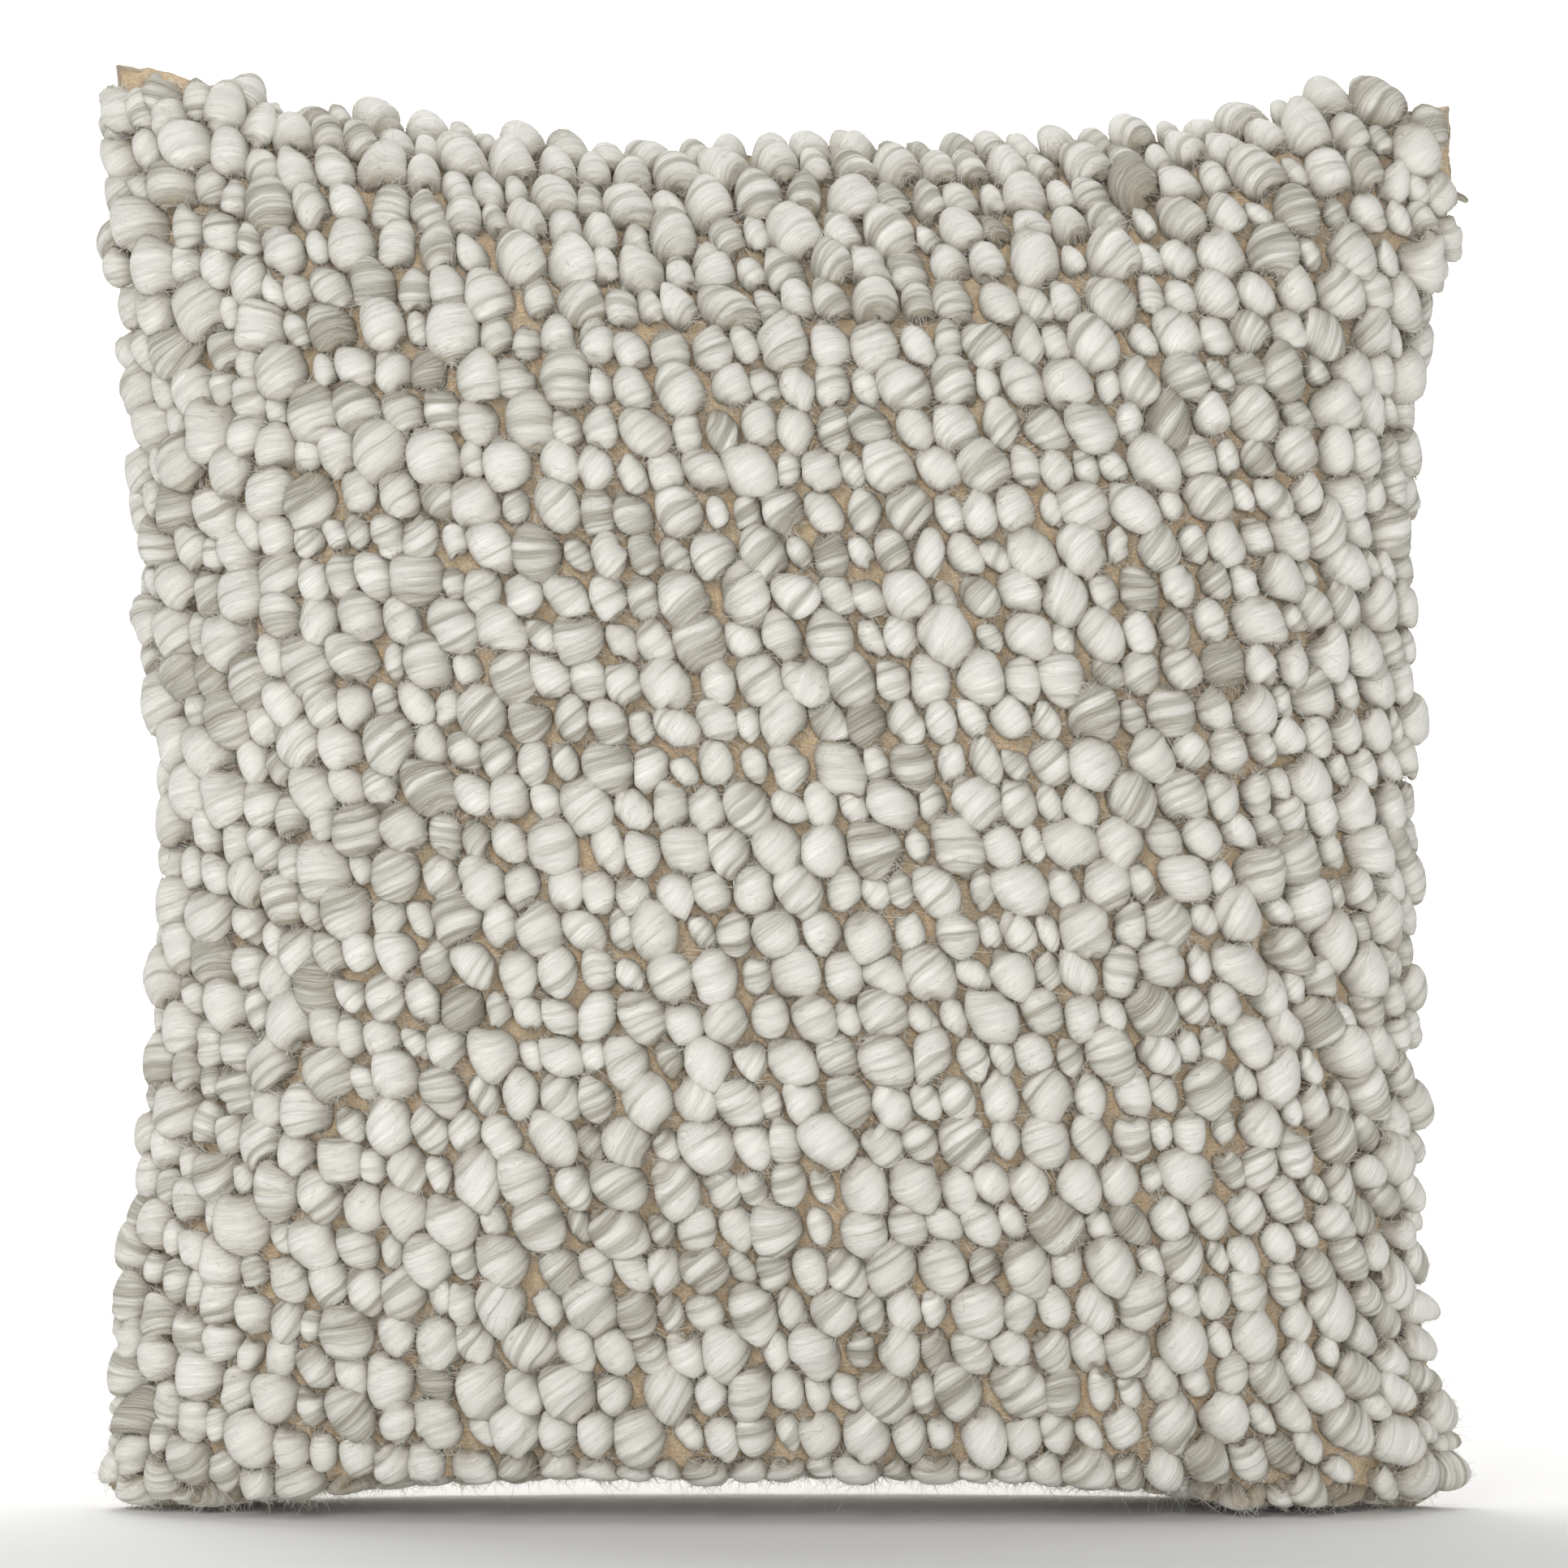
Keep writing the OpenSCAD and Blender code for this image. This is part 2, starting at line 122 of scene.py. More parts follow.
def eased(x, xs, ys):
    """Smooth curve through a few points."""
    xs, ys = np.asarray(xs, float), np.asarray(ys, float)
    i = np.clip(np.searchsorted(xs, x) - 1, 0, len(xs) - 2)
    f = (x - xs[i]) / (xs[i + 1] - xs[i])
    return ys[i] + (ys[i + 1] - ys[i]) * f * f * (3 - 2 * f)


def own_outline(p, u, v):
    """The small unevenness of this cushion's edge, fading out over the outer quarter."""
    p = p.copy()
    p[..., 0] += eased(v, SIDE_V, LEFT_X) * (1 - smooth(0.0, 0.55, u + 1)) + eased(v, SIDE_V, RIGHT_X) * (1 - smooth(0.0, 0.55, 1 - u))
    p[..., 2] += eased(u, TOP_U, TOP_Z) * (1 - smooth(0.0, 0.45, 1 - v))
    return p


def face(side, u, v):
    p = raw(side, u, v)
    low = flat_z(u, -1.0 + 0 * u)
    if side < 0:
        p[..., 2] = np.maximum(p[..., 2], np.minimum(10 + arch(u), low))
        return p
    w = (1 - smooth(18, 50, np.abs(p[..., 2] - ZIP_Z))) * (1 - smooth(ZIP_HALF + 6, ZIP_HALF + 32, np.abs(p[..., 0])))
    y = np.sqrt(np.maximum(1, ZIP_R**2 - p[..., 0] ** 2)) - ZIP_R + ZIP_Y0 + ZIP_SLOPE * (p[..., 2] - ZIP_Z)
    p[..., 1] = mix(p[..., 1], y, w)
    p[..., 2] = np.maximum(p[..., 2], np.minimum(arch(u), low))
    return p


def arc_table(half, t0):
    ts = -np.cos(np.pi * np.arange(81) / 80)
    seg = np.hypot(half * np.diff(ts), t0 * np.diff(prof(ts)))
    run = np.concatenate([[0], np.cumsum(seg)])
    return run / run[-1], ts


U_RUN, U_TS = arc_table(BW / 2, FT)
V_RUN, V_TS = arc_table(248.0, FT)
to_u = lambda s: np.interp(s, U_RUN, U_TS)
to_v = lambda t: np.interp(t, V_RUN, V_TS)
to_s = lambda u: np.interp(u, U_TS, U_RUN)
to_t = lambda v: np.interp(v, V_TS, V_RUN)

# ---------------------------------------------------------------- small mesh helpers


def make(name, verts, faces, smooth_shade=True):
    me = bpy.data.meshes.new(name)
    verts = np.asarray(verts, np.float32).reshape(-1, 3)
    faces = np.asarray(faces, np.int32)
    k = faces.shape[1]
    me.vertices.add(len(verts))
    me.vertices.foreach_set("co", verts.ravel())
    me.loops.add(faces.size)
    me.loops.foreach_set("vertex_index", faces.ravel())
    me.polygons.add(len(faces))
    me.polygons.foreach_set("loop_start", np.arange(0, faces.size, k, dtype=np.int32))
    me.update(calc_edges=True)
    me.validate()
    if smooth_shade:
        me.polygons.foreach_set("use_smooth", np.ones(len(me.polygons), bool))
    ob = bpy.data.objects.new(name, me)
    bpy.context.scene.collection.objects.link(ob)
    return ob


def grid_quads(nj, ni, base=0, close_i=False, flip=False):
    j, i = np.meshgrid(np.arange(nj - 1), np.arange(ni if close_i else ni - 1), indexing="ij")
    i2 = (i + 1) % ni
    q = np.stack([j * ni + i, j * ni + i2, (j + 1) * ni + i2, (j + 1) * ni + i], -1).reshape(-1, 4) + base
    return q[:, ::-1] if flip else q


def set_uv(me, name, per_vertex):
    """A UV map from one pair of numbers per vertex."""
    lay = me.uv_layers.new(name=name)
    idx = np.zeros(len(me.loops), np.int32)
    me.loops.foreach_get("vertex_index", idx)
    lay.data.foreach_set("uv", np.asarray(per_vertex, np.float32)[idx].ravel())


def set_attr(me, name, values):
    a = me.attributes.new(name, "FLOAT", "POINT")
    a.data.foreach_set("value", np.asarray(values, np.float32))


def bicubic(G, s, t):
    """Samples grid G[t, s, ...] smoothly at s, t from 0 to 1."""
    nt, ns = G.shape[:2]
    x, y = np.clip(s, 0, 1) * (ns - 1), np.clip(t, 0, 1) * (nt - 1)
    xi, yi = np.minimum(x.astype(int), ns - 2), np.minimum(y.astype(int), nt - 2)
    fx, fy = x - xi, y - yi

    def w(f):
        return [-0.5 * f + f * f - 0.5 * f**3, 1 - 2.5 * f * f + 1.5 * f**3, 0.5 * f + 2 * f * f - 1.5 * f**3, -0.5 * f * f + 0.5 * f**3]

    wx, wy = w(fx), w(fy)
    out = 0
    for b in range(4):
        for a in range(4):
            g = G[np.clip(yi + b - 1, 0, nt - 1), np.clip(xi + a - 1, 0, ns - 1)]
            k = (wx[a] * wy[b])[..., None]
            out = out + k * g
    return out


# ---------------------------------------------------------------- the filled cover, by cloth simulation
NG = 97
S_lin = np.linspace(0, 1, NG)
GU, GV = np.meshgrid(to_u(S_lin), to_v(S_lin))  # [t, s]
base_f, base_b = face(-1, GU, GV), face(1, GU, GV)


def simulate():
    """Swells the sewn cover over a little spare cloth, and gives how far each point moved, in mm."""
    ni = NG
    inner = np.full((ni, ni), -1)
    inner[1:-1, 1:-1] = ni * ni + np.arange((ni - 2) ** 2).reshape(ni - 2, ni - 2)
    fidx = np.arange(ni * ni).reshape(ni, ni)
    bidx = np.where(inner >= 0, inner, fidx)
    verts = np.concatenate([base_f.reshape(-1, 3), base_b[1:-1, 1:-1].reshape(-1, 3)])

    def quads(ix, flip):
        q = np.stack([ix[:-1, :-1], ix[:-1, 1:], ix[1:, 1:], ix[1:, :-1]], -1).reshape(-1, 4)
        return q[:, ::-1] if flip else q

    rough = 0.25 * np.random.default_rng(7).standard_normal(verts.shape)
    edge = np.zeros(len(verts), bool)
    edge[np.concatenate([fidx[0], fidx[-1], fidx[:, 0], fidx[:, -1]])] = True
    start = verts + np.where(edge[:, None], 0, rough)
    ob = make("cover_sim", start * MM, np.concatenate([quads(fidx, False), quads(bidx, True)]))
    pin = np.zeros(len(verts))
    pin[edge] = 1
    near_floor = 1 - smooth(0.5, 14, verts[:, 2] - arch(np.clip(verts[:, 0] / 230, -1, 1)))
    zipz = (1 - smooth(20, 46, np.abs(verts[:, 2] - ZIP_Z))) * (1 - smooth(ZIP_HALF + 8, ZIP_HALF + 30, np.abs(verts[:, 0]))) * (verts[:, 1] > 0)
    pin = np.maximum(pin, np.maximum(near_floor, zipz))
    vg = ob.vertex_groups.new(name="pin")
    for i in np.nonzero(pin > 0.02)[0]:
        vg.add([int(i)], float(pin[i]), "REPLACE")
    m = ob.modifiers.new("Cloth", "CLOTH")
    st = m.settings
    st.quality = 6
    st.mass = 0.35
    st.tension_stiffness = st.compression_stiffness = 18
    st.shear_stiffness = 6
    st.bending_stiffness = 0.6
    st.use_pressure = True
    st.uniform_pressure_force = 4.0
    st.shrink_min = -0.045
    st.vertex_group_mass = "pin"
    st.pin_stiffness = 1.0
    st.effector_weights.gravity = 0
    m.collision_settings.use_collision = False
    m.collision_settings.use_self_collision = False
    m.point_cache.frame_start, m.point_cache.frame_end = 1, 22
    sc = bpy.context.scene
    sc.frame_start, sc.frame_end = 1, 22
    for f in range(1, 23):
        sc.frame_set(f)
    dg = bpy.context.evaluated_depsgraph_get()
    ev = ob.evaluated_get(dg)
    co = np.zeros(len(ev.data.vertices) * 3, np.float32)
    ev.data.vertices.foreach_get("co", co)
    moved = co.reshape(-1, 3).astype(float) / MM - verts
    sc.frame_set(1)
    sc.frame_end = 1
    me = ob.data
    bpy.data.objects.remove(ob)
    bpy.data.meshes.remove(me)
    moved *= (1 - pin)[:, None]
    return moved[fidx], moved[bidx]


def normals(P):
    du = np.gradient(P, axis=1)
    dv = np.gradient(P, axis=0)
    n = np.cross(du, dv)
    return n / np.maximum(np.linalg.norm(n, axis=-1, keepdims=True), 1e-9)


def capped(moved, P, side, out_cap, in_cap):
    n = -side * -normals(P) if side < 0 else -normals(P)
    d = (moved * n).sum(-1)
    tan = moved - d[..., None] * n
    lt = np.linalg.norm(tan, axis=-1, keepdims=True)
    tan = tan * np.minimum(1, 3.0 / np.maximum(lt, 1e-6))
    d = np.where(d > 0, out_cap * np.tanh(d / out_cap), in_cap * np.tanh(d / in_cap))
    return tan + d[..., None] * n


mov_f, mov_b = simulate()
print("sim moved", np.abs(mov_f).max(), np.abs(mov_b).max(), np.percentile(np.abs(mov_b), 90))
mov_f = capped(mov_f, base_f, -1, 5.0, 2.0)
mov_b = capped(mov_b, base_b, 1, 6.0, 2.5)


def cover(side, u, v):
    """A point of the filled cover's outside, in mm with the seam at y = SEAM_Y."""
    u, v = np.asarray(u, float), np.asarray(v, float)
    p = face(side, u, v) + bicubic(mov_f if side < 0 else mov_b, to_s(u), to_t(v))
    p = own_outline(p, u, v)
    p[..., 2] = np.maximum(p[..., 2], 0.0)
    p[..., 1] += SEAM_Y
    return p


def cover_normal(side, u, v, e=0.006):
    a, b = np.clip(u, -0.985, 0.985), np.clip(v, -0.985, 0.985)
    du = cover(side, a + e, b) - cover(side, a - e, b)
    dv = cover(side, a, b + e) - cover(side, a, b - e)
    c = np.cross(du, dv)
    return -side * c / np.maximum(np.linalg.norm(c, axis=-1, keepdims=True), 1e-9)


# ---------------------------------------------------------------- materials


def material(name):
    m = bpy.data.materials.new(name)
    m.use_nodes = True
    nt = m.node_tree
    nt.nodes.clear()
    out = nt.nodes.new("ShaderNodeOutputMaterial")
    b = nt.nodes.new("ShaderNodeBsdfPrincipled")
    nt.links.new(b.outputs[0], out.inputs[0])
    return m, nt, b


def node(nt, kind, **kw):
    n = nt.nodes.new("ShaderNode" + kind)
    for k, v in kw.items():
        if k.startswith("in_"):
            n.inputs[k[3:].replace("_", " ")].default_value = v
        else:
            setattr(n, k, v)
    return n


def link(nt, a, b):
    nt.links.new(a, b)
    return b


def math_node(nt, op, a, b=None, c=None, clamp=False):
    n = nt.nodes.new("ShaderNodeMath")
    n.operation = op
    n.use_clamp = clamp
    for i, x in enumerate((a, b, c)):
        if x is None:
            continue
        if isinstance(x, (int, float)):
            n.inputs[i].default_value = x
        else:
            nt.links.new(x, n.inputs[i])
    return n.outputs[0]


def mix_colour(nt, fac, a, b, blend="MIX"):
    n = nt.nodes.new("ShaderNodeMix")
    n.data_type = "RGBA"
    n.blend_type = blend
    for sock, x in ((n.inputs[0], fac), (n.inputs[6], a), (n.inputs[7], b)):
        if isinstance(x, (int, float)):
            sock.default_value = x
        elif isinstance(x, tuple):
            sock.default_value = (*x, 1)
        else:
            nt.links.new(x, sock)
    return n.outputs[2]


def scaled(nt, vec, sx, sy, sz=1.0, ox=0.0, oy=0.0, oz=0.0):
    n = nt.nodes.new("ShaderNodeMapping")
    n.inputs["Scale"].default_value = (sx, sy, sz)
    n.inputs["Location"].default_value = (ox, oy, oz)
    nt.links.new(vec, n.inputs["Vector"])
    return n.outputs[0]


def noise(nt, vec, scale, detail=3.0, rough=0.55, distortion=0.0, dims="3D"):
    n = nt.nodes.new("ShaderNodeTexNoise")
    n.noise_dimensions = dims
    n.inputs["Scale"].default_value = scale
    n.inputs["Detail"].default_value = detail
    n.inputs["Roughness"].default_value = rough
    n.inputs["Distortion"].default_value = distortion
    nt.links.new(vec, n.inputs["Vector"])
    return n.outputs[0]


def ramp(nt, fac, stops):
    n = nt.nodes.new("ShaderNodeValToRGB")
    e = n.color_ramp.elements
    while len(e) < len(stops):
        e.new(0.5)
    for x, (p, c) in zip(e, stops):
        x.position = p
        x.color = (*c, 1) if isinstance(c, tuple) else (c, c, c, 1)
    nt.links.new(fac, n.inputs[0])
    return n.outputs[0]


def bump(nt, height, strength, distance, normal=None):
    n = nt.nodes.new("ShaderNodeBump")
    n.inputs["Strength"].default_value = strength
    n.inputs["Distance"].default_value = distance
    nt.links.new(height, n.inputs["Height"])
    if normal is not None:
        nt.links.new(normal, n.inputs["Normal"])
    return n.outputs[0]


def uvmap(nt, name):
    n = nt.nodes.new("ShaderNodeUVMap")
    n.uv_map = name
    return n.outputs[0]


def attr(nt, name):
    n = nt.nodes.new("ShaderNodeAttribute")
    n.attribute_name = name
    return n.outputs["Fac"]


def wool_material():
    """Loose roving: long fibres along the yarn, off-white with grey fibres blended in unevenly. The map's x runs along
    the yarn and y around it, both in mm."""
    m, nt, b = material("wool_roving")
    uv = uvmap(nt, "fibre")
    marl, tone = attr(nt, "_marl"), attr(nt, "_tone")
    # slow wander, so that no streak is straight
    wander = noise(nt, scaled(nt, uv, 0.10, 0.16), 1.0, 2.0)
    off = nt.nodes.new("ShaderNodeCombineXYZ")
    nt.links.new(math_node(nt, "MULTIPLY", math_node(nt, "SUBTRACT", wander, 0.5), 5.0), off.inputs[1])
    add = node(nt, "VectorMath", operation="ADD")
    nt.links.new(uv, add.inputs[0])
    nt.links.new(off.outputs[0], add.inputs[1])
    v = add.outputs[0]
    broad = noise(nt, scaled(nt, v, 0.036, 0.25), 1.0, 2.0, 0.45)
    band = noise(nt, scaled(nt, v, 0.045, 0.95, ox=7.0), 1.0, 2.5, 0.55)
    fine = noise(nt, scaled(nt, v, 0.08, 2.3, ox=3.0), 1.0, 3.0, 0.6)
    hair = noise(nt, scaled(nt, v, 0.14, 4.8, oy=5.0), 1.0, 3.0, 0.7)
    # how grey each streak is: a few soft broad streaks, broken up by single fibres
    s = math_node(nt, "ADD", math_node(nt, "MULTIPLY", broad, 0.80), math_node(nt, "MULTIPLY", band, 0.20))
    s = math_node(nt, "ADD", s, math_node(nt, "MULTIPLY", math_node(nt, "SUBTRACT", fine, 0.5), 0.26))
    s = math_node(nt, "ADD", s, math_node(nt, "MULTIPLY", math_node(nt, "SUBTRACT", hair, 0.5), 0.30))
    s = math_node(nt, "ADD", s, math_node(nt, "MULTIPLY", math_node(nt, "SUBTRACT", marl, 0.5), 0.28))
    grey = ramp(nt, s, [(0.49, 0.0), (0.55, 0.34), (0.61, 0.74), (0.71, 1.0)])
    white = mix_colour(nt, tone, (0.775, 0.757, 0.698), (0.855, 0.842, 0.79))
    dark = mix_colour(nt, ramp(nt, fine, [(0.40, 0.0), (0.60, 1.0)]), (0.23, 0.21, 0.16), (0.50, 0.475, 0.395))
    col = mix_colour(nt, math_node(nt, "MULTIPLY", grey, 0.92), white, dark)
    both = math_node(nt, "ADD", math_node(nt, "MULTIPLY", hair, 0.55), math_node(nt, "MULTIPLY", fine, 0.45))
    lines = ramp(nt, both, [(0.34, 0.76), (0.42, 0.92), (0.50, 0.985), (0.60, 1.05)])
    col = mix_colour(nt, 1.0, col, lines, "MULTIPLY")
    # painted shade: darker colour in the creases between strands, and at the loop's feet, its flanks, its inner side
    # and where its two legs meet
    col = mix_colour(nt, math_node(nt, "MULTIPLY", math_node(nt, "MULTIPLY", attr(nt, "_crease_shade"), 0.42), math_node(nt, "ADD", fine, -0.05)), col, (0.30, 0.275, 0.23))
    shade_paint = attr(nt, "_painted_shade")
    # painted shade at the feet, flanks, inner side and leg fold, broken up by single fibres and mixed towards a warm
    # brown
    edge = math_node(nt, "ADD", math_node(nt, "MULTIPLY", shade_paint, 0.80), math_node(nt, "MULTIPLY", math_node(nt, "MULTIPLY", shade_paint, math_node(nt, "SUBTRACT", 0.5, hair)), 1.6), clamp=True)
    col = mix_colour(nt, edge, col, (0.35, 0.285, 0.185))
    nt.links.new(col, b.inputs["Base Color"])
    rough = ramp(nt, fine, [(0.3, 0.92), (0.7, 0.78)])
    nt.links.new(rough, b.inputs["Roughness"])
    b.inputs["Specular IOR Level"].default_value = 0.22
    b.inputs["Sheen Weight"].default_value = 0.12
    b.inputs["Sheen Roughness"].default_value = 0.45
    b.inputs["Sheen Tint"].default_value = (1.0, 0.98, 0.94, 1)
    b.inputs["Subsurface Weight"].default_value = 0.0
    h = math_node(nt, "ADD", math_node(nt, "MULTIPLY", band, 0.30), math_node(nt, "MULTIPLY", fine, 0.45))
    h = math_node(nt, "ADD", h, math_node(nt, "MULTIPLY", hair, 0.55))
    nt.links.new(bump(nt, h, 0.8, 0.0008), b.inputs["Normal"])
    return m


def ground_material():
    """Hand-woven ground cloth: soft, slubby tan yarns, closely beaten, with felted fibres over them. Map in mm."""
    m, nt, b = material("ground_cloth")
    uv = uvmap(nt, "cloth")
    wob = noise(nt, scaled(nt, uv, 0.35, 0.35), 1.0, 2.0)
    off = nt.nodes.new("ShaderNodeCombineXYZ")
    w = math_node(nt, "MULTIPLY", math_node(nt, "SUBTRACT", wob, 0.5), 1.1)
    nt.links.new(w, off.inputs[0])
    nt.links.new(w, off.inputs[1])
    add = node(nt, "VectorMath", operation="ADD")
    nt.links.new(uv, add.inputs[0])
    nt.links.new(off.outputs[0], add.inputs[1])
    sep = node(nt, "SeparateXYZ")
    nt.links.new(add.outputs[0], sep.inputs[0])
    x, y = sep.outputs[0], sep.outputs[1]
    # plain weave: warp up, weft across, each over the other in turn, half hidden by felted fibres
    px, py = 2.1, 1.5
    cx = math_node(nt, "SINE", math_node(nt, "MULTIPLY", x, math.pi / px))
    cy = math_node(nt, "SINE", math_node(nt, "MULTIPLY", y, math.pi / py))
    over = math_node(nt, "MULTIPLY", cx, cy)
    weave = math_node(nt, "ABSOLUTE", over)
    sign = math_node(nt, "GREATER_THAN", over, 0.0)
    slub = noise(nt, scaled(nt, uv, 0.22, 1.3), 1.0, 4.0, 0.65, 0.6)
    slub2 = noise(nt, scaled(nt, uv, 1.3, 0.30), 1.0, 4.0, 0.65, 0.6)
    fuzz = noise(nt, scaled(nt, uv, 0.42, 1.15), 1.0, 6.0, 0.72, 1.8)
    speck = noise(nt, scaled(nt, uv, 1.6, 3.4), 1.0, 4.0, 0.75, 1.0)
    blotch = noise(nt, uv, 0.06, 3.0, 0.6)
    col = mix_colour(nt, blotch, (1.0, 0.71, 0.43), (1.0, 0.83, 0.58))
    thread = math_node(nt, "ADD", math_node(nt, "MULTIPLY", sign, slub), math_node(nt, "MULTIPLY", math_node(nt, "SUBTRACT", 1.0, sign), slub2))
    col = mix_colour(nt, 1.0, col, ramp(nt, thread, [(0.34, 0.80), (0.50, 0.97), (0.66, 1.08)]), "MULTIPLY")
    col = mix_colour(nt, 1.0, col, ramp(nt, weave, [(0.0, 0.95), (0.35, 0.99), (1.0, 1.01)]), "MULTIPLY")
    col = mix_colour(nt, 1.0, col, ramp(nt, fuzz, [(0.37, 0.68), (0.45, 0.91), (0.53, 1.03), (0.63, 1.14)]), "MULTIPLY")
    col = mix_colour(nt, 1.0, col, ramp(nt, speck, [(0.38, 0.74), (0.50, 0.98), (0.62, 1.12)]), "MULTIPLY")
    nt.links.new(col, b.inputs["Base Color"])
    b.inputs["Roughness"].default_value = 0.93
    b.inputs["Specular IOR Level"].default_value = 0.15
    b.inputs["Sheen Weight"].default_value = 0.25
    b.inputs["Sheen Roughness"].default_value = 0.5
    b.inputs["Sheen Tint"].default_value = (1.0, 0.93, 0.82, 1)
    h = math_node(nt, "ADD", math_node(nt, "MULTIPLY", weave, 0.18), math_node(nt, "MULTIPLY", thread, 0.5))
    h = math_node(nt, "ADD", h, math_node(nt, "MULTIPLY", fuzz, 1.3))
    h = math_node(nt, "ADD", h, math_node(nt, "MULTIPLY", speck, 0.4))
    nt.links.new(bump(nt, h, 0.9, 0.0008), b.inputs["Normal"])
    return m


def back_material(name="back_cloth", light=(0.66, 0.575, 0.455), dark=(0.54, 0.455, 0.345), px=0.62, py=0.58, depth=0.0003):
    """Plain-woven cotton back, with yarns of uneven thickness and a few darker slubs. Map in mm."""
    m, nt, b = material(name)
    uv = uvmap(nt, "cloth")
    sep = node(nt, "SeparateXYZ")
    wob = noise(nt, scaled(nt, uv, 0.5, 0.5), 1.0, 2.0)
    off = nt.nodes.new("ShaderNodeCombineXYZ")
    w = math_node(nt, "MULTIPLY", math_node(nt, "SUBTRACT", wob, 0.5), 0.5)
    nt.links.new(w, off.inputs[0])
    nt.links.new(w, off.inputs[1])
    add = node(nt, "VectorMath", operation="ADD")
    nt.links.new(uv, add.inputs[0])
    nt.links.new(off.outputs[0], add.inputs[1])
    nt.links.new(add.outputs[0], sep.inputs[0])
    x, y = sep.outputs[0], sep.outputs[1]
    cx = math_node(nt, "SINE", math_node(nt, "MULTIPLY", x, math.pi / px))
    cy = math_node(nt, "SINE", math_node(nt, "MULTIPLY", y, math.pi / py))
    over = math_node(nt, "MULTIPLY", cx, cy)
    weave = math_node(nt, "ABSOLUTE", over)
    sign = math_node(nt, "GREATER_THAN", over, 0.0)
    weft = noise(nt, scaled(nt, uv, 0.05, 1.5), 1.0, 4.0, 0.7)
    warp = noise(nt, scaled(nt, uv, 1.5, 0.05), 1.0, 4.0, 0.7)
    fuzz = noise(nt, uv, 4.5, 4.0, 0.7, 0.4)
    blotch = noise(nt, uv, 0.03, 3.0, 0.5)
    col = mix_colour(nt, blotch, dark, light)
    thread = math_node(nt, "ADD", math_node(nt, "MULTIPLY", sign, weft), math_node(nt, "MULTIPLY", math_node(nt, "SUBTRACT", 1.0, sign), warp))
    col = mix_colour(nt, 1.0, col, ramp(nt, thread, [(0.28, 0.70), (0.45, 0.95), (0.62, 1.05), (0.80, 1.22)]), "MULTIPLY")
    col = mix_colour(nt, 1.0, col, ramp(nt, weave, [(0.0, 0.78), (0.4, 0.98), (1.0, 1.03)]), "MULTIPLY")
    col = mix_colour(nt, 1.0, col, ramp(nt, fuzz, [(0.3, 0.93), (0.7, 1.06)]), "MULTIPLY")
    nt.links.new(col, b.inputs["Base Color"])
    b.inputs["Roughness"].default_value = 0.9
    b.inputs["Specular IOR Level"].default_value = 0.18
    b.inputs["Sheen Weight"].default_value = 0.18
    b.inputs["Sheen Roughness"].default_value = 0.5
    b.inputs["Sheen Tint"].default_value = (1.0, 0.96, 0.9, 1)
    h = math_node(nt, "ADD", math_node(nt, "MULTIPLY", weave, 0.7), math_node(nt, "MULTIPLY", thread, 0.9))
    h = math_node(nt, "ADD", h, math_node(nt, "MULTIPLY", fuzz, 0.35))
    nt.links.new(bump(nt, h, 0.7, depth), b.inputs["Normal"])
    return m


def thread_material(name, colour, pitch=0.9):
    """Two-ply sewing thread: the plies are a slanting stripe that winds round the strand, with fine noise over it. Map:
    x along in mm, y round from 0 to 1.
    """
    m, nt, b = material(name)
    uv = uvmap(nt, "thread")
    sep = node(nt, "SeparateXYZ")
    nt.links.new(uv, sep.inputs[0])
    a = math_node(nt, "ADD", math_node(nt, "MULTIPLY", sep.outputs[0], 2 * math.pi / pitch), math_node(nt, "MULTIPLY", sep.outputs[1], 4 * math.pi))
    ply = math_node(nt, "ADD", math_node(nt, "MULTIPLY", math_node(nt, "SINE", a), 0.5), 0.5)
    fine = noise(nt, scaled(nt, uv, 0.8, 14.0), 1.0, 3.0, 0.6)
    dark = tuple(c * 0.55 for c in colour)
    col = mix_colour(nt, ramp(nt, ply, [(0.0, 0.0), (0.35, 0.85), (1.0, 1.0)]), dark, colour)
    col = mix_colour(nt, 1.0, col, ramp(nt, fine, [(0.3, 0.85), (0.7, 1.1)]), "MULTIPLY")
    nt.links.new(col, b.inputs["Base Color"])
    b.inputs["Roughness"].default_value = 0.7
    b.inputs["Sheen Weight"].default_value = 0.2
    nt.links.new(bump(nt, math_node(nt, "ADD", ply, math_node(nt, "MULTIPLY", fine, 0.4)), 0.6, 0.0002), b.inputs["Normal"])
    return m


def coords(nt):
    n = nt.nodes.new("ShaderNodeTexCoord")
    return n.outputs["Object"]


def tape_material():
    """Knitted zip tape: fine ribs along it, in object space metres."""
    m, nt, b = material("zip_tape")
    o = coords(nt)
    sep = node(nt, "SeparateXYZ")
    nt.links.new(o, sep.inputs[0])
    rib = math_node(nt, "SINE", math_node(nt, "MULTIPLY", sep.outputs[2], 2 * math.pi / 0.0011))
    cross = math_node(nt, "SINE", math_node(nt, "MULTIPLY", sep.outputs[0], 2 * math.pi / 0.0009))
    w = math_node(nt, "MULTIPLY", rib, cross)
    n1 = noise(nt, o, 900.0, 4.0, 0.7)
    col = mix_colour(nt, n1, (0.52, 0.45, 0.345), (0.72, 0.65, 0.53))
    col = mix_colour(nt, 1.0, col, ramp(nt, math_node(nt, "ADD", math_node(nt, "MULTIPLY", w, 0.5), 0.5), [(0.0, 0.8), (1.0, 1.08)]), "MULTIPLY")
    nt.links.new(col, b.inputs["Base Color"])
    b.inputs["Roughness"].default_value = 0.85
    b.inputs["Sheen Weight"].default_value = 0.15
    nt.links.new(bump(nt, math_node(nt, "ADD", w, n1), 0.5, 0.0002), b.inputs["Normal"])
    return m


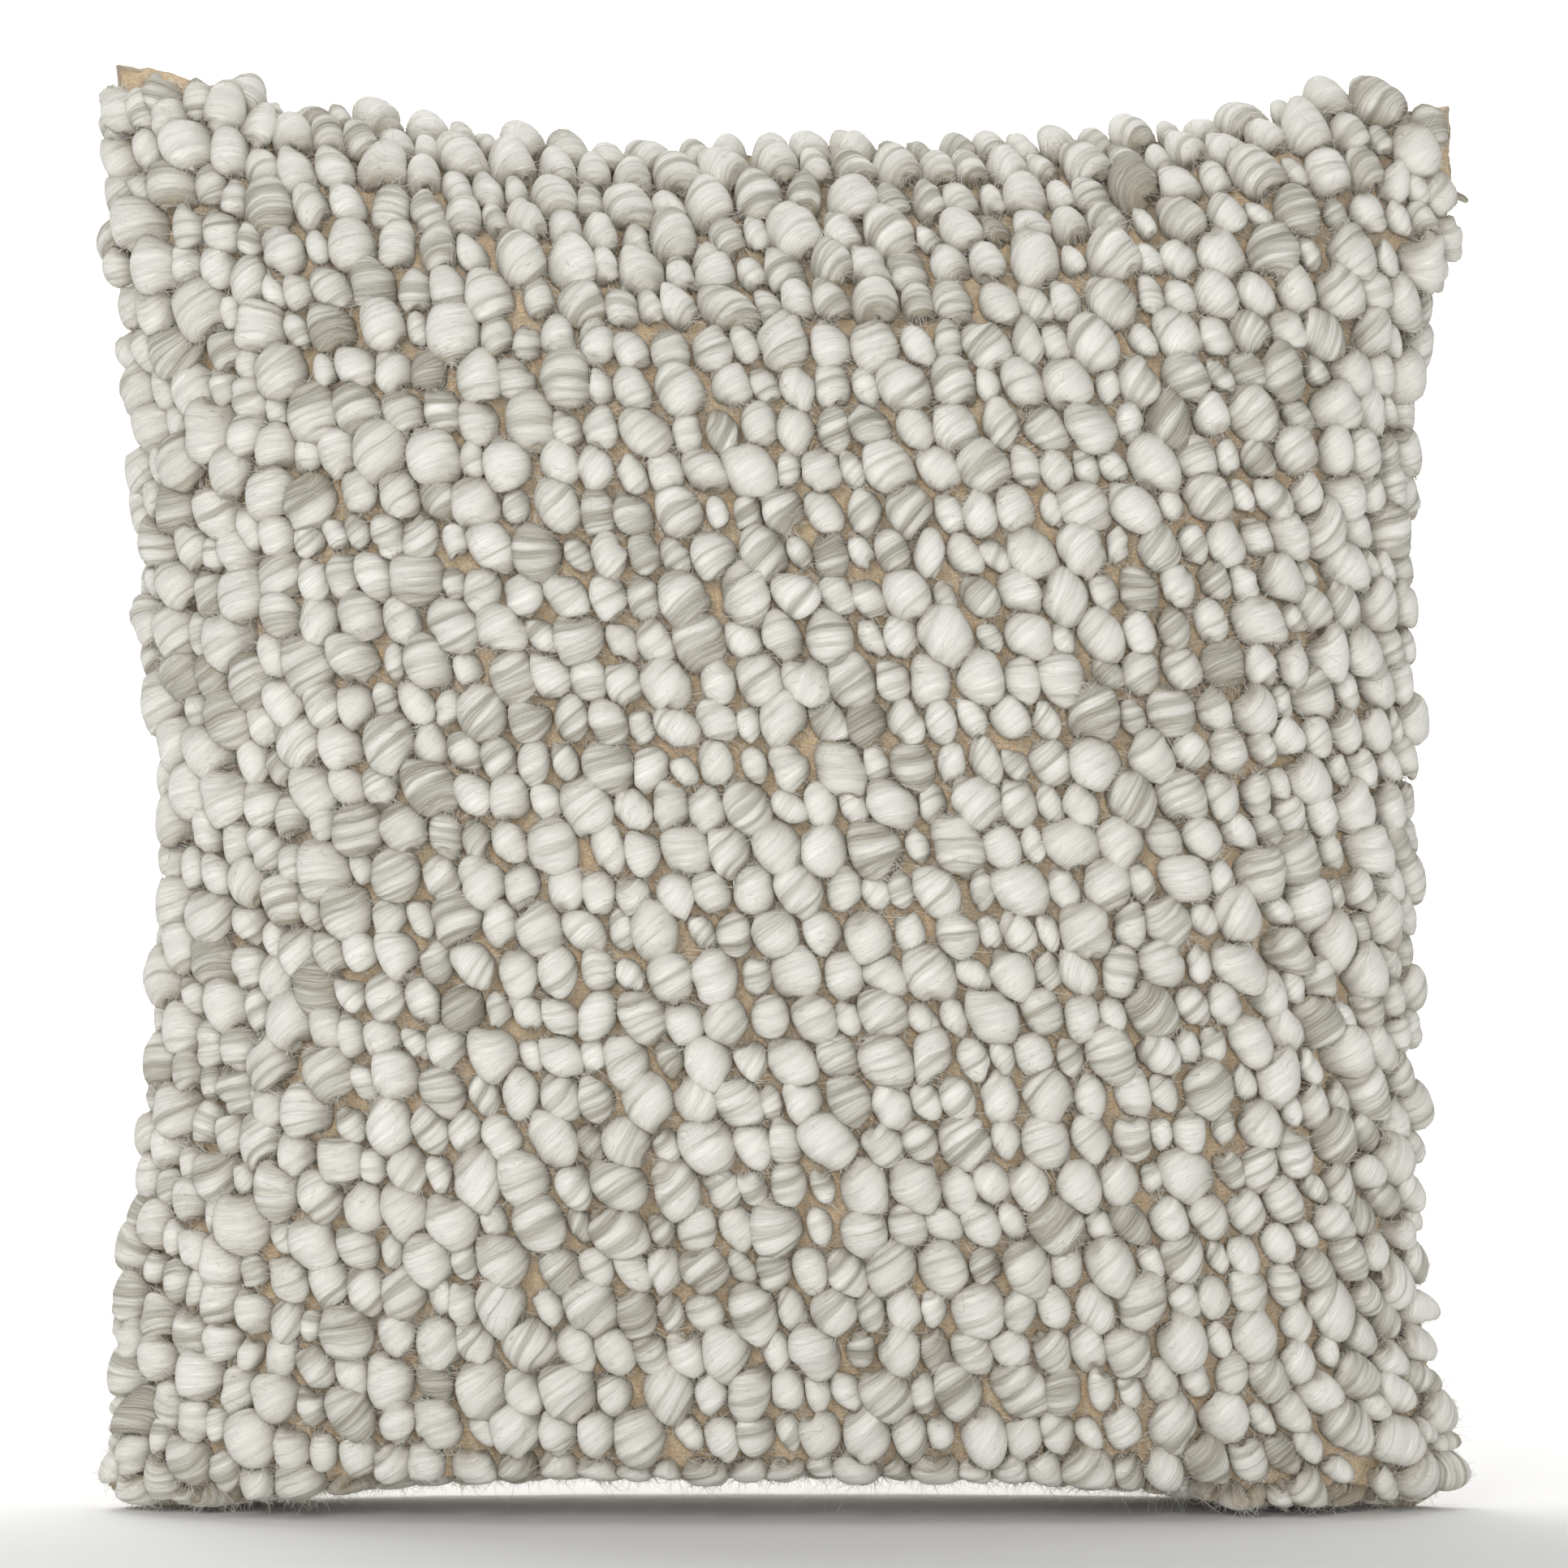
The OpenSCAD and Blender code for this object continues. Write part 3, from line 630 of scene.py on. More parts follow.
def nylon_material():
    m, nt, b = material("zip_coil")
    o = coords(nt)
    n1 = noise(nt, o, 350.0, 3.0, 0.6)
    nt.links.new(mix_colour(nt, n1, (0.60, 0.53, 0.41), (0.74, 0.67, 0.54)), b.inputs["Base Color"])
    nt.links.new(ramp(nt, n1, [(0.3, 0.42), (0.7, 0.3)]), b.inputs["Roughness"])
    b.inputs["Coat Weight"].default_value = 0.1
    return m


def metal_material():
    """Painted zinc casting, rubbed a little brighter along its edges."""
    m, nt, b = material("zip_metal")
    o = coords(nt)
    geo = nt.nodes.new("ShaderNodeNewGeometry")
    edge = ramp(nt, geo.outputs["Pointiness"], [(0.50, 0.0), (0.58, 1.0)])
    n1 = noise(nt, o, 500.0, 4.0, 0.6)
    n2 = noise(nt, scaled(nt, o, 1500, 260, 260), 1.0, 3.0, 0.6)
    col = mix_colour(nt, n1, (0.42, 0.355, 0.25), (0.55, 0.48, 0.36))
    col = mix_colour(nt, math_node(nt, "MULTIPLY", edge, 0.6), col, (0.78, 0.72, 0.60))
    nt.links.new(col, b.inputs["Base Color"])
    b.inputs["Metallic"].default_value = 0.85
    nt.links.new(ramp(nt, n2, [(0.3, 0.28), (0.7, 0.46)]), b.inputs["Roughness"])
    nt.links.new(bump(nt, n2, 0.15, 0.0001), b.inputs["Normal"])
    return m


def insert_material():
    m, nt, b = material("insert_cloth")
    o = coords(nt)
    n1 = noise(nt, o, 700.0, 4.0, 0.7)
    n2 = noise(nt, o, 12.0, 3.0, 0.5)
    col = mix_colour(nt, n2, (0.78, 0.77, 0.73), (0.88, 0.875, 0.84))
    col = mix_colour(nt, 1.0, col, ramp(nt, n1, [(0.3, 0.9), (0.7, 1.05)]), "MULTIPLY")
    nt.links.new(col, b.inputs["Base Color"])
    b.inputs["Roughness"].default_value = 0.9
    nt.links.new(bump(nt, n1, 0.4, 0.0002), b.inputs["Normal"])
    return m


M_WOOL, M_GROUND, M_BACK = wool_material(), ground_material(), back_material()
M_SEAM = thread_material("seam_thread", (0.66, 0.57, 0.44))
M_TAPE, M_COIL, M_METAL, M_INSERT = tape_material(), nylon_material(), metal_material(), insert_material()

# ---------------------------------------------------------------- cloth shells


def shell(name, P, N, thick, mat, uv, dents=None, round_rim=True):
    """A closed sheet from a grid of outside points P[j, i] and outward normals N, thick mm, with rounded rims."""
    nj, ni = P.shape[:2]
    inner = P - N * thick
    verts = [P.reshape(-1, 3), inner.reshape(-1, 3)]
    faces = [grid_quads(nj, ni), grid_quads(nj, ni, nj * ni, flip=True)]
    ring = np.concatenate([np.arange(ni), np.arange(1, nj) * ni + ni - 1, (nj - 1) * ni + np.arange(ni - 2, -1, -1), np.arange(nj - 2, 0, -1) * ni])
    k = len(ring)
    a = ring
    b = ring + nj * ni
    # one row of points half way through the rim, standing out a little
    R0, R1 = P.reshape(-1, 3)[ring], inner.reshape(-1, 3)[ring]
    tangent = np.roll(R0, -1, 0) - np.roll(R0, 1, 0)
    outw = np.cross(tangent, N.reshape(-1, 3)[ring])
    outw /= np.maximum(np.linalg.norm(outw, axis=1, keepdims=True), 1e-9)
    centre = R0.mean(0)
    if ((R0 - centre) * outw).sum() < 0:
        outw = -outw
    midr = (R0 + R1) / 2 + outw * (thick * 0.45 if round_rim else 0)
    verts.append(midr)
    c = np.arange(k) + 2 * nj * ni
    an, bn, cn = np.roll(a, -1), np.roll(b, -1), np.roll(c, -1)
    faces.append(np.stack([a, c, cn, an], -1))
    faces.append(np.stack([c, b, bn, cn], -1))
    V, F = np.concatenate(verts), np.concatenate(faces)
    ob = make(name, V * MM, F)
    UV = np.concatenate([uv.reshape(-1, 2), uv.reshape(-1, 2), uv.reshape(-1, 2)[ring]])
    set_uv(ob.data, "cloth", UV)
    fix_normals(ob)
    ob.data.materials.append(mat)
    return ob


def fix_normals(ob):
    import bmesh
    bm = bmesh.new()
    bm.from_mesh(ob.data)
    bmesh.ops.recalc_face_normals(bm, faces=bm.faces)
    bm.to_mesh(ob.data)
    bm.free()


def tube(points, radius, sides=8, phase=0.0):
    """Vertices, faces and a thread map for one open or closed tube along points, in mm."""
    P = np.asarray(points, float)
    n = len(P)
    T = np.gradient(P, axis=0)
    T /= np.maximum(np.linalg.norm(T, axis=1, keepdims=True), 1e-9)
    ref = np.where(np.abs(T[:, 2:3]) > 0.9, [[1.0, 0, 0]], [[0, 0, 1.0]])
    A = np.cross(T, ref)
    A /= np.maximum(np.linalg.norm(A, axis=1, keepdims=True), 1e-9)
    B = np.cross(T, A)
    r = np.broadcast_to(np.asarray(radius, float), (n,))
    ang = 2 * np.pi * np.arange(sides) / sides + phase
    V = P[:, None] + r[:, None, None] * (np.cos(ang)[None, :, None] * A[:, None] + np.sin(ang)[None, :, None] * B[:, None])
    V = V.reshape(-1, 3)
    F = grid_quads(n, sides, close_i=True)
    run = np.concatenate([[0], np.cumsum(np.linalg.norm(np.diff(P, axis=0), axis=1))])
    uv = np.stack(np.broadcast_arrays(run[:, None], (np.arange(sides) / sides)[None, :]), -1).reshape(-1, 2)
    V = np.concatenate([V, P[:1], P[-1:]])
    uv = np.concatenate([uv, [[0, 0]], [[run[-1], 0]]])
    k = np.arange(sides)
    kn = (k + 1) % sides
    c0, c1 = n * sides, n * sides + 1
    F = np.concatenate([F, np.stack([np.full(sides, c0), kn, k, k], -1), np.stack([np.full(sides, c1), (n - 1) * sides + k, (n - 1) * sides + kn, (n - 1) * sides + kn], -1)])
    return V, F, uv


def tubes(name, items, mat, uvname="thread"):
    """Many tubes in one piece. Faces with a doubled corner are triangles."""
    Vs, Fs, Us, base = [], [], [], 0
    for V, F, uv in items:
        Vs.append(V)
        Fs.append(F + base)
        Us.append(uv)
        base += len(V)
    V, F, U = np.concatenate(Vs), np.concatenate(Fs), np.concatenate(Us)
    me = bpy.data.meshes.new(name)
    polys = [tuple(dict.fromkeys(f)) for f in F.tolist()]
    me.from_pydata((V * MM).tolist(), [], polys)
    me.polygons.foreach_set("use_smooth", np.ones(len(me.polygons), bool))
    ob = bpy.data.objects.new(name, me)
    bpy.context.scene.collection.objects.link(ob)
    set_uv(me, uvname, U)
    ob.data.materials.append(mat)
    return ob


def cloth_map(P):
    """Distances over the cloth itself, in mm, so that its yarns keep one size everywhere."""
    x = np.concatenate([np.zeros((P.shape[0], 1)), np.cumsum(np.linalg.norm(np.diff(P, axis=1), axis=-1), axis=1)], 1)
    y = np.concatenate([np.zeros((1, P.shape[1])), np.cumsum(np.linalg.norm(np.diff(P, axis=0), axis=-1), axis=0)])
    return np.stack([x - x[:, -1:] / 2 + 250, y - y[-1:] / 2 + 270], -1)


# ---------------------------------------------------------------- front ground cloth
def front_cloth():
    n = 201
    u = to_u(np.linspace(0, 1, n))
    v = to_v(np.linspace(0, 1, n))
    U, V = np.meshgrid(u, v)
    P, N = cover(-1, U, V), cover_normal(-1, U, V)
    # the edge is drawn in by the seam
    e = np.minimum(np.minimum(U + 1, 1 - U) * 240, np.minimum(V + 1, 1 - V) * 250)
    pull = 0.9 * np.exp(-e / 1.3)
    P = P - N * pull[..., None]
    P[..., 1] = np.minimum(P[..., 1], SEAM_Y - 0.05)
    uv = cloth_map(P)
    # slight cushioning of the slubby weave
    r = np.random.default_rng(5)
    k = r.standard_normal((n, n))
    k = (k + np.roll(k, 1, 0) + np.roll(k, 1, 1) + np.roll(k, -1, 1)) / 4
    P = P + N * (0.28 * k * smooth(1, 6, e))[..., None]
    P[..., 2] = np.maximum(P[..., 2], 0)
    ob = shell("front_ground_cloth_woven", P, N, CLOTH, M_GROUND, uv)
    return ob


front = front_cloth()
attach(front, "cushion")
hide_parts("front_ground_cloth")

# ---------------------------------------------------------------- the looped roving
LX, LY = 493.0, 540.0
PITCH = LY / ROWS


def least_from_edge(s, t):
    """How near the seam a loop may stand, across and up: the cloth stays bare beside the corners. All in mm."""
    left = np.where(t > LY - 16, 8.0, 2.5)
    right = np.where(t > LY - 40, 12.0, 2.5)
    top = np.where(s < 44, 18.0, np.where(s > LX - 22, 12.0, 4.5))
    foot = np.where((s < 50) & (s > 6), 12.0, np.where(s > LX - 26, 9.0, 3.5))
    return left, right, top, foot


EDGE_N = 161
EDGE_T = -np.cos(np.pi * np.linspace(0, 1, EDGE_N))
_U, _V = np.meshgrid(EDGE_T, EDGE_T)
_P = cover(-1, _U, _V)
ARC_U = np.concatenate([np.zeros((EDGE_N, 1)), np.cumsum(np.linalg.norm(np.diff(_P, axis=1), axis=-1), axis=1)], 1)
ARC_V = np.concatenate([np.zeros((1, EDGE_N)), np.cumsum(np.linalg.norm(np.diff(_P, axis=0), axis=-1), axis=0)])


def keep_off_edges(u, v):
    iv = np.rint(np.interp(v, EDGE_T, np.arange(EDGE_N))).astype(int)
    iu = np.rint(np.interp(u, EDGE_T, np.arange(EDGE_N))).astype(int)
    for k in np.nonzero((np.abs(u) > 0.84) | (np.abs(v) > 0.84))[0]:
        au, av = ARC_U[iv[k]], ARC_V[:, iu[k]]
        s, t = np.interp(u[k], EDGE_T, au), np.interp(v[k], EDGE_T, av)
        left, right, top, foot = least_from_edge(s / au[-1] * LX if s < au[-1] / 2 else LX - (au[-1] - s), LY - (av[-1] - t) if t > av[-1] / 2 else t)
        u[k] = np.interp(min(max(s, left), au[-1] - right), au, EDGE_T)
        v[k] = np.interp(min(max(t, foot), av[-1] - top), av, EDGE_T)
    return u, v


def weft_lines():
    """Where each weft row runs: rows are evenly spaced over the cloth itself, so by arc length up the cover."""
    us = -np.cos(np.pi * np.linspace(0, 1, 161))
    vs = -np.cos(np.pi * np.linspace(0, 1, 401))
    U, V = np.meshgrid(us, vs)
    P = cover(-1, U, V)
    run = np.concatenate([np.zeros((1, 161)), np.cumsum(np.linalg.norm(np.diff(P, axis=0), axis=-1), axis=0)])
    rows = np.array([[np.interp((j + 0.5) / ROWS * run[-1, i], run[:, i], vs) for i in range(161)] for j in range(ROWS)])
    return us, rows


ROW_U, ROW_V = weft_lines()


def lay_loops():
    """Loops along each weft row. The roving is thick and thin by turns, so big and small loops tend to alternate."""
    r = np.random.default_rng(11)
    out = []
    for j in range(ROWS):
        uu = -np.cos(np.pi * np.linspace(0, 1, 801))
        vv = np.interp(uu, ROW_U, ROW_V[j])
        P = cover(-1, uu, vv)
        run = np.concatenate([[0], np.cumsum(np.linalg.norm(np.diff(P, axis=0), axis=1))])
        total = run[-1]
        x = r.uniform(0.5, 9)
        dark = r.standard_normal()
        kind = r.integers(0, 3)
        while True:
            dark = 0.45 * dark + r.standard_normal() * 0.9
            kind = r.choice(3, p=((0.06, 0.42, 0.52), (0.28, 0.42, 0.30), (0.40, 0.46, 0.14))[kind])
            w = (r.uniform(8.2, 10.8), r.uniform(11.6, 14.4), r.uniform(15.6, 18.8))[kind]
            cx = x + w / 2
            x += w * 0.99 + r.choice([0.0, 0.5, 1.4], p=[0.5, 0.3, 0.2])
            if cx > total - 3:
                break
            u = float(np.interp(cx, run, uu))
            out.append((u, float(np.interp(u, uu, vv)), w, j, dark, cx / total * LX))
    return np.array(out)


L = lay_loops()
L = L[(L[:, 5] > 4) & (L[:, 5] < LX - 4)]
nL = len(L)
W = L[:, 2]
_r = np.random.default_rng(12)
H = W * np.interp(W, [8, 12, 17], [1.36, 1.20, 1.09]) * _r.uniform(0.94, 1.08, nL)  # across the yarn, up the cloth


def frames(u, v):
    """Middle, normal, along-row and up-cloth directions, and how many mm one unit of u and of v is."""
    e = 0.008
    ua, ub = np.clip(u - e, -1, 1), np.clip(u + e, -1, 1)
    va, vb = np.clip(v - e, -1, 1), np.clip(v + e, -1, 1)
    du = (cover(-1, ub, v) - cover(-1, ua, v)) / (ub - ua)[:, None]
    dv = (cover(-1, u, vb) - cover(-1, u, va)) / (vb - va)[:, None]
    mu, mv = np.linalg.norm(du, axis=1), np.linalg.norm(dv, axis=1)
    N = cover_normal(-1, u, v)
    T = du - (du * N).sum(-1, keepdims=True) * N
    T /= np.maximum(np.linalg.norm(T, axis=1, keepdims=True), 1e-9)
    return cover(-1, u, v), N, T, np.cross(N, T), mu, mv


YAW = np.radians(np.random.default_rng(21).normal(21, 9, nL))


def settle():
    """Neighbouring loops push each other aside over the curved cloth, each held near its own row."""
    u, v = L[:, 0].copy(), L[:, 1].copy()
    rows = L[:, 3].astype(int)
    C, N, T, B, mu, mv = frames(u, v)
    M = C + N * 6
    d = np.linalg.norm(M[:, None] - M[None], axis=-1)
    ii, jj = np.nonzero((d < 34) & (np.arange(nL)[:, None] < np.arange(nL)[None, :]))
    cy, sy = np.cos(YAW)[:, None], np.sin(YAW)[:, None]
    for it in range(70):
        C, N, T, B, mu, mv = frames(u, v)
        M = C + N * 6
        A_, B_ = T * cy + B * sy, -T * sy + B * cy
        dd = M[ii] - M[jj]
        a_ = ((A_[ii] + A_[jj]) / 2 * dd).sum(1)
        b_ = ((B_[ii] + B_[jj]) / 2 * dd).sum(1)
        c_ = ((N[ii] + N[jj]) / 2 * dd).sum(1)
        ax = (W[ii] + W[jj]) / 2 * 0.95
        ay = (H[ii] + H[jj]) / 2 * 0.91
        q = np.sqrt((a_ / ax) ** 2 + (b_ / ay) ** 2 + (c_ / 14) ** 2) + 1e-9
        hit = q < 1
        i2, j2, d2, q2 = ii[hit], jj[hit], dd[hit], q[hit]
        push = d2 * (np.minimum(1 / q2 - 1, 0.8) * 0.25)[:, None]
        wi, wj = (W[i2] * H[i2]), (W[j2] * H[j2])
        move = np.zeros((nL, 3))
        np.add.at(move, i2, push * (wj / (wi + wj))[:, None])
        np.add.at(move, j2, -push * (wi / (wi + wj))[:, None])
        u = u + (move * T).sum(1) / mu
        v = v + (move * B).sum(1) / mv
        rv = np.zeros(nL)
        for j in range(ROWS):
            k = rows == j
            rv[k] = np.interp(u[k], ROW_U, ROW_V[j])
        v += (rv - v) * 0.10
        u, v = keep_off_edges(np.clip(u, -0.9999, 0.9999), np.clip(v, -0.9999, 0.9999))
    return u, v, ii, jj


LU, LV, PI_, PJ_ = settle()
print("loops", nL)

NA, NR = 27, 24  # points along a loop and around it


def pressed(Pt, M, A, B, ra, rb):
    """Flattens loops against each other where they would cross."""
    n = len(M)
    pairs = [[] for _ in range(n)]
    d = M[PJ_] - M[PI_]
    D = np.linalg.norm(d, axis=1)
    for k in np.nonzero(D < 24)[0]:
        pairs[PI_[k]].append((PJ_[k], k, 1.0))
        pairs[PJ_[k]].append((PI_[k], k, -1.0))
    most = max(len(p) for p in pairs)
    for slot in range(most):
        idx = np.array([i for i in range(n) if len(pairs[i]) > slot])
        oth = np.array([pairs[i][slot][0] for i in idx])
        kk = np.array([pairs[i][slot][1] for i in idx])
        sg = np.array([pairs[i][slot][2] for i in idx])
        nn = d[kk] * sg[:, None] / D[kk][:, None]

        def reach(i):
            return np.sqrt((ra[i] * (nn * A[i]).sum(1)) ** 2 + (rb[i] * (nn * B[i]).sum(1)) ** 2 + (5.0 * np.sqrt(np.maximum(0, 1 - (nn * A[i]).sum(1) ** 2 - (nn * B[i]).sum(1) ** 2))) ** 2)

        ri, rj = reach(idx), reach(oth)
        lim = D[kk] * ri**1.25 / (ri**1.25 + rj**1.25)
        need = lim < ri * 0.985
        idx, nn, lim = idx[need], nn[need], lim[need]
        q = ((Pt[idx] - M[idx][:, None, None]) * nn[:, None, None]).sum(-1)
        k = 1.0
        z = np.clip((lim[:, None, None] - q) / k, -40, 40)
        soft = lim[:, None, None] + 1.3 - k * np.log1p(np.exp(z))
        shift = np.minimum(soft - q, 0)
        shift = -2.6 * np.tanh(-shift / 2.6)
        Pt[idx] += shift[..., None] * nn[:, None, None]
    return Pt


def build_loops():
    r = np.random.default_rng(13)
    n = nL
    size = W / 16.0
    C, Nn, Tx, Ty, mu, mv = frames(LU, LV)
    # loops at the rim lie a little flatter
    s, t = to_s(LU), to_t(LV)
    rim = np.minimum(np.minimum(s, 1 - s) * LX, np.minimum(t, 1 - t) * LY)
    flat = 1 - smooth(0, 16, rim)
    # the corners of the cover lie flat, so the loops there point forwards
    sm, tm = s * LX, t * LY
    forward = 0.85 * (1 - smooth(40, 75, sm)) * (1 - smooth(22, 48, LY - tm))
    forward = np.maximum(forward, 0.75 * (1 - smooth(18, 36, LX - sm)) * (1 - smooth(45, 70, LY - tm)))
    forward = np.maximum(forward, 0.55 * (1 - smooth(50, 80, sm)) * (1 - smooth(16, 36, tm)))[:, None]
    Nn = Nn * (1 - forward) + np.array([0.0, -1.0, 0.0]) * forward
    Nn /= np.linalg.norm(Nn, axis=1, keepdims=True)
    Tx = Tx - (Tx * Nn).sum(1, keepdims=True) * Nn
    Tx /= np.linalg.norm(Tx, axis=1, keepdims=True)
    Ty = np.cross(Nn, Tx)
    cr, sr = np.cos(YAW)[:, None], np.sin(YAW)[:, None]
    A = Tx * cr + Ty * sr  # the yarn runs this way over the loop's top
    B = -Tx * sr + Ty * cr  # across the yarn
    leanx, leany = r.normal(-0.13, 0.09, n), r.normal(0.06, 0.10, n)
    # gravity and handling tip the loops a little
    leany = leany + 0.10 * (Nn[:, 2]) - 0.05
    # loop form, in mm
    rn = size * r.uniform(4.5, 5.3, n)
    a = size * 8.5 - rn
    top = (4.4 + 9.3 * size) * r.uniform(0.93, 1.07, n) * (1 - 0.25 * flat)
    b = (top - rn + 1.2) / 1.80
    rb = H / 2 * r.uniform(1.03, 1.11, n)
    TH = np.radians(r.uniform(138, 150, n))
    tt = np.linspace(-1, 1, NA)
    al = TH[:, None] * tt[None]
    asym = r.normal(0, 0.10, n)[:, None]
    cx = a[:, None] * np.sin(al) * (1 + asym * tt)
    cz = (b * 0.80 - 1.2)[:, None] + b[:, None] * np.cos(al)
    # the legs wander across the yarn a little, as a helix does
    shift = r.normal(0, 0.16, n)[:, None] * rb[:, None] * tt + r.normal(0, 0.06, n)[:, None] * rb[:, None] * np.sin(al * 2)
    dx = a[:, None] * np.cos(al)
    dz = -b[:, None] * np.sin(al)
    ln = np.hypot(dx, dz)
    nx, nz = -dz / ln, dx / ln  # outwards from the loop's middle
    nx, nz = np.where((nx * cx + nz * (cz - cz.mean(1, keepdims=True))) < 0, -nx, nx), np.where((nx * cx + nz * (cz - cz.mean(1, keepdims=True))) < 0, -nz, nz)
    body = np.cos(np.pi / 2 * np.abs(tt))[None] ** r.uniform(0.62, 1.05, n)[:, None]
    thick = 0.66 + 0.34 * body
    wob = 1 + 0.07 * np.sin(np.pi * tt[None] * r.uniform(1.2, 2.4, n)[:, None] + r.uniform(0, 6.28, n)[:, None])
    RN = rn[:, None] * thick * wob
    RB = rb[:, None] * (0.40 + 0.60 * body) * wob
    ph = 2 * np.pi * np.arange(NR) / NR
    sect_n, sect_b = np.cos(ph), np.sin(ph)
    # the section is a little squarer than an ellipse
    q = 0.94
    sn = np.sign(sect_n) * np.abs(sect_n) ** q
    sb = np.sign(sect_b) * np.abs(sect_b) ** q
    # grooves between strands, running along the yarn with a slow twist
    twist = r.normal(0.55, 0.35, n)
    rel = np.zeros((n, NA, NR))
    # a mask of painted shade along the grooves, for the wool colour
    groove_shade = np.zeros((n, NA, NR))
    for g in range(4):
        g0 = r.uniform(0, 2 * np.pi, n)
        on = r.random(n) < (0.95, 0.8, 0.55, 0.35)[g]
        depth = on * r.uniform(0.04, 0.17, n)
        wid = r.uniform(0.20, 0.34, n)
        path = g0[:, None] + twist[:, None] * tt[None] * (1 + 0.4 * r.standard_normal((n, 1))) + 0.15 * np.sin(3 * tt[None] + g0[:, None])
        dphi = (ph[None, None] - path[..., None] + np.pi) % (2 * np.pi) - np.pi
        rel -= (depth[:, None, None] * np.exp(-((dphi / wid[:, None, None]) ** 2)))
        rel += (depth[:, None, None] * 0.30 * np.exp(-((np.abs(dphi) - 2.1 * wid[:, None, None]) / wid[:, None, None]) ** 2))
        groove_shade = np.maximum(groove_shade, (depth / 0.17)[:, None, None] * np.exp(-((dphi / (0.6 * wid[:, None, None])) ** 2)))
    for g in range(3):
        k = (2, 3, 5)[g]
        amp = (0.035, 0.025, 0.012)[g] * r.uniform(0.3, 1.0, n)
        rel += amp[:, None, None] * np.sin(k * ph[None, None] + r.uniform(0, 6.28, n)[:, None, None] + (r.normal(0, 1.2, n)[:, None] * tt[None] * 1.5)[..., None])
    scale = 1 + rel
    on_ = RN[..., None] * sn[None, None] * scale
    ob_ = RB[..., None] * sb[None, None] * scale
    # the two legs swell towards each other and meet in the middle, so that no loop is hollow
    swell = 0.9 * smooth(0.12, 0.55, np.abs(tt))[None, :, None] * np.maximum(-sn, 0)[None, None] ** 0.8
    on_ = on_ * (1 + swell)
    x = cx[..., None] + nx[..., None] * on_
    z = cz[..., None] + nz[..., None] * on_
    split = r.normal(0.16, 0.22, n)[:, None, None] * a[:, None, None]
    leg = np.sign(tt)[None, :, None]
    least = mix(-9.0, -0.40, smooth(0.10, 0.36, np.abs(tt)))[None, :, None]
    gone = leg * (x - split) - least
    x = np.where(leg == 0, x, split + leg * (least + 0.5 * (gone + np.sqrt(gone**2 + 0.30))))
    # painted shade where the two legs meet
    fold_shade = np.exp(-(((x - split) / (0.65 * size[:, None, None])) ** 2)) * (smooth(0.14, 0.40, np.abs(tt)) * (1 - 0.6 * smooth(0.7, 0.95, np.abs(tt))))[None, :, None]
    y = shift[..., None] + ob_
    # some loops have one end swollen and the other pinched
    pear = r.normal(0, 0.07, n)[:, None, None]
    y = y * (1 + pear * (x / (a + rn)[:, None, None]))
    # some loops fold over themselves and leave a dent at one side
    for g in range(2):
        on = (r.random(n) < (0.45, 0.22)[g]) * r.uniform(0.10, 0.34, n)
        t0, p0 = r.uniform(-0.5, 0.5, n), r.choice([1.4, 4.9, 5.3, 0.9], n) + r.normal(0, 0.35, n)
        dphi = (ph[None, None] - p0[:, None, None] + np.pi) % (2 * np.pi) - np.pi
        dent = on[:, None, None] * np.exp(-(((tt[None] - t0[:, None]) / 0.17) ** 2)[..., None] - (dphi / 0.42) ** 2)
        y = y * (1 - dent)
        z = z - 0.8 * dent * rn[:, None, None] * np.maximum(sn, 0)
    # lean
    x = x + leanx[:, None, None] * np.maximum(z, 0)
    y = y + leany[:, None, None] * np.maximum(z, 0)
    Pt = C[:, None, None] + A[:, None, None] * x[..., None] + B[:, None, None] * y[..., None] + Nn[:, None, None] * z[..., None]
    Pt = pressed(Pt, C + Nn * 6, A, B, W / 2, H / 2)
    # the lowest loops are crushed flat where the cushion stands
    ar = arch(np.clip(Pt[..., 0] / 232, -1, 1))
    zz = Pt[..., 2] - ar
    Pt[..., 2] = ar + np.where(zz > 5, zz, np.where(zz > -9, (zz + 9) * 5 / 14, 0))
    # nothing goes through the seam to the back
    Pt[..., 1] = np.where(Pt[..., 1] > SEAM_Y - 1, SEAM_Y - 1 + 5.0 * np.tanh((Pt[..., 1] - SEAM_Y + 1) / 8.0), Pt[..., 1])
    along = np.concatenate([np.zeros((n, 1)), np.cumsum(np.hypot(np.diff(cx, axis=1), np.diff(cz, axis=1)), axis=1)], 1)
    dark = L[:, 4]
    pick = r.random(n) + 0.10 * dark
    marl = np.where(pick < 0.34, r.uniform(0.05, 0.32, n), np.where(pick < 0.84, r.uniform(0.34, 0.64, n), r.uniform(0.62, 0.90, n)))
    marl = np.where(r.random(n) < 0.015, r.uniform(0.95, 1.2, n), marl)
    tone = np.clip(r.normal(0.62, 0.24, n), 0, 1)
    # painted shade mask: darker low on the loop and at its feet, at its flanks and inner side, capped, then the leg
    # fold added
    high = z / top[:, None, None]
    shade_paint = 0.26 * (1 - smooth(-0.5, 4.5, z)) + 0.44 * (1 - smooth(0.25, 0.94, high))
    shade_paint = np.clip(shade_paint + 0.56 * np.abs(sect_b)[None, None] ** 4 * (1 - 0.4 * smooth(0.6, 1.0, high)) + 0.12 * np.maximum(-sect_n, 0)[None, None], 0, 1)
    shade_paint = np.minimum(shade_paint, 0.86) + 0.45 * fold_shade
    return Pt, along, marl, tone, shade_paint, RB, twist, groove_shade


LOOP, ALONG, MARL, TONE, SHADE_PAINT_MASK, RBX, TWIST, GROOVE_SHADE = build_loops()


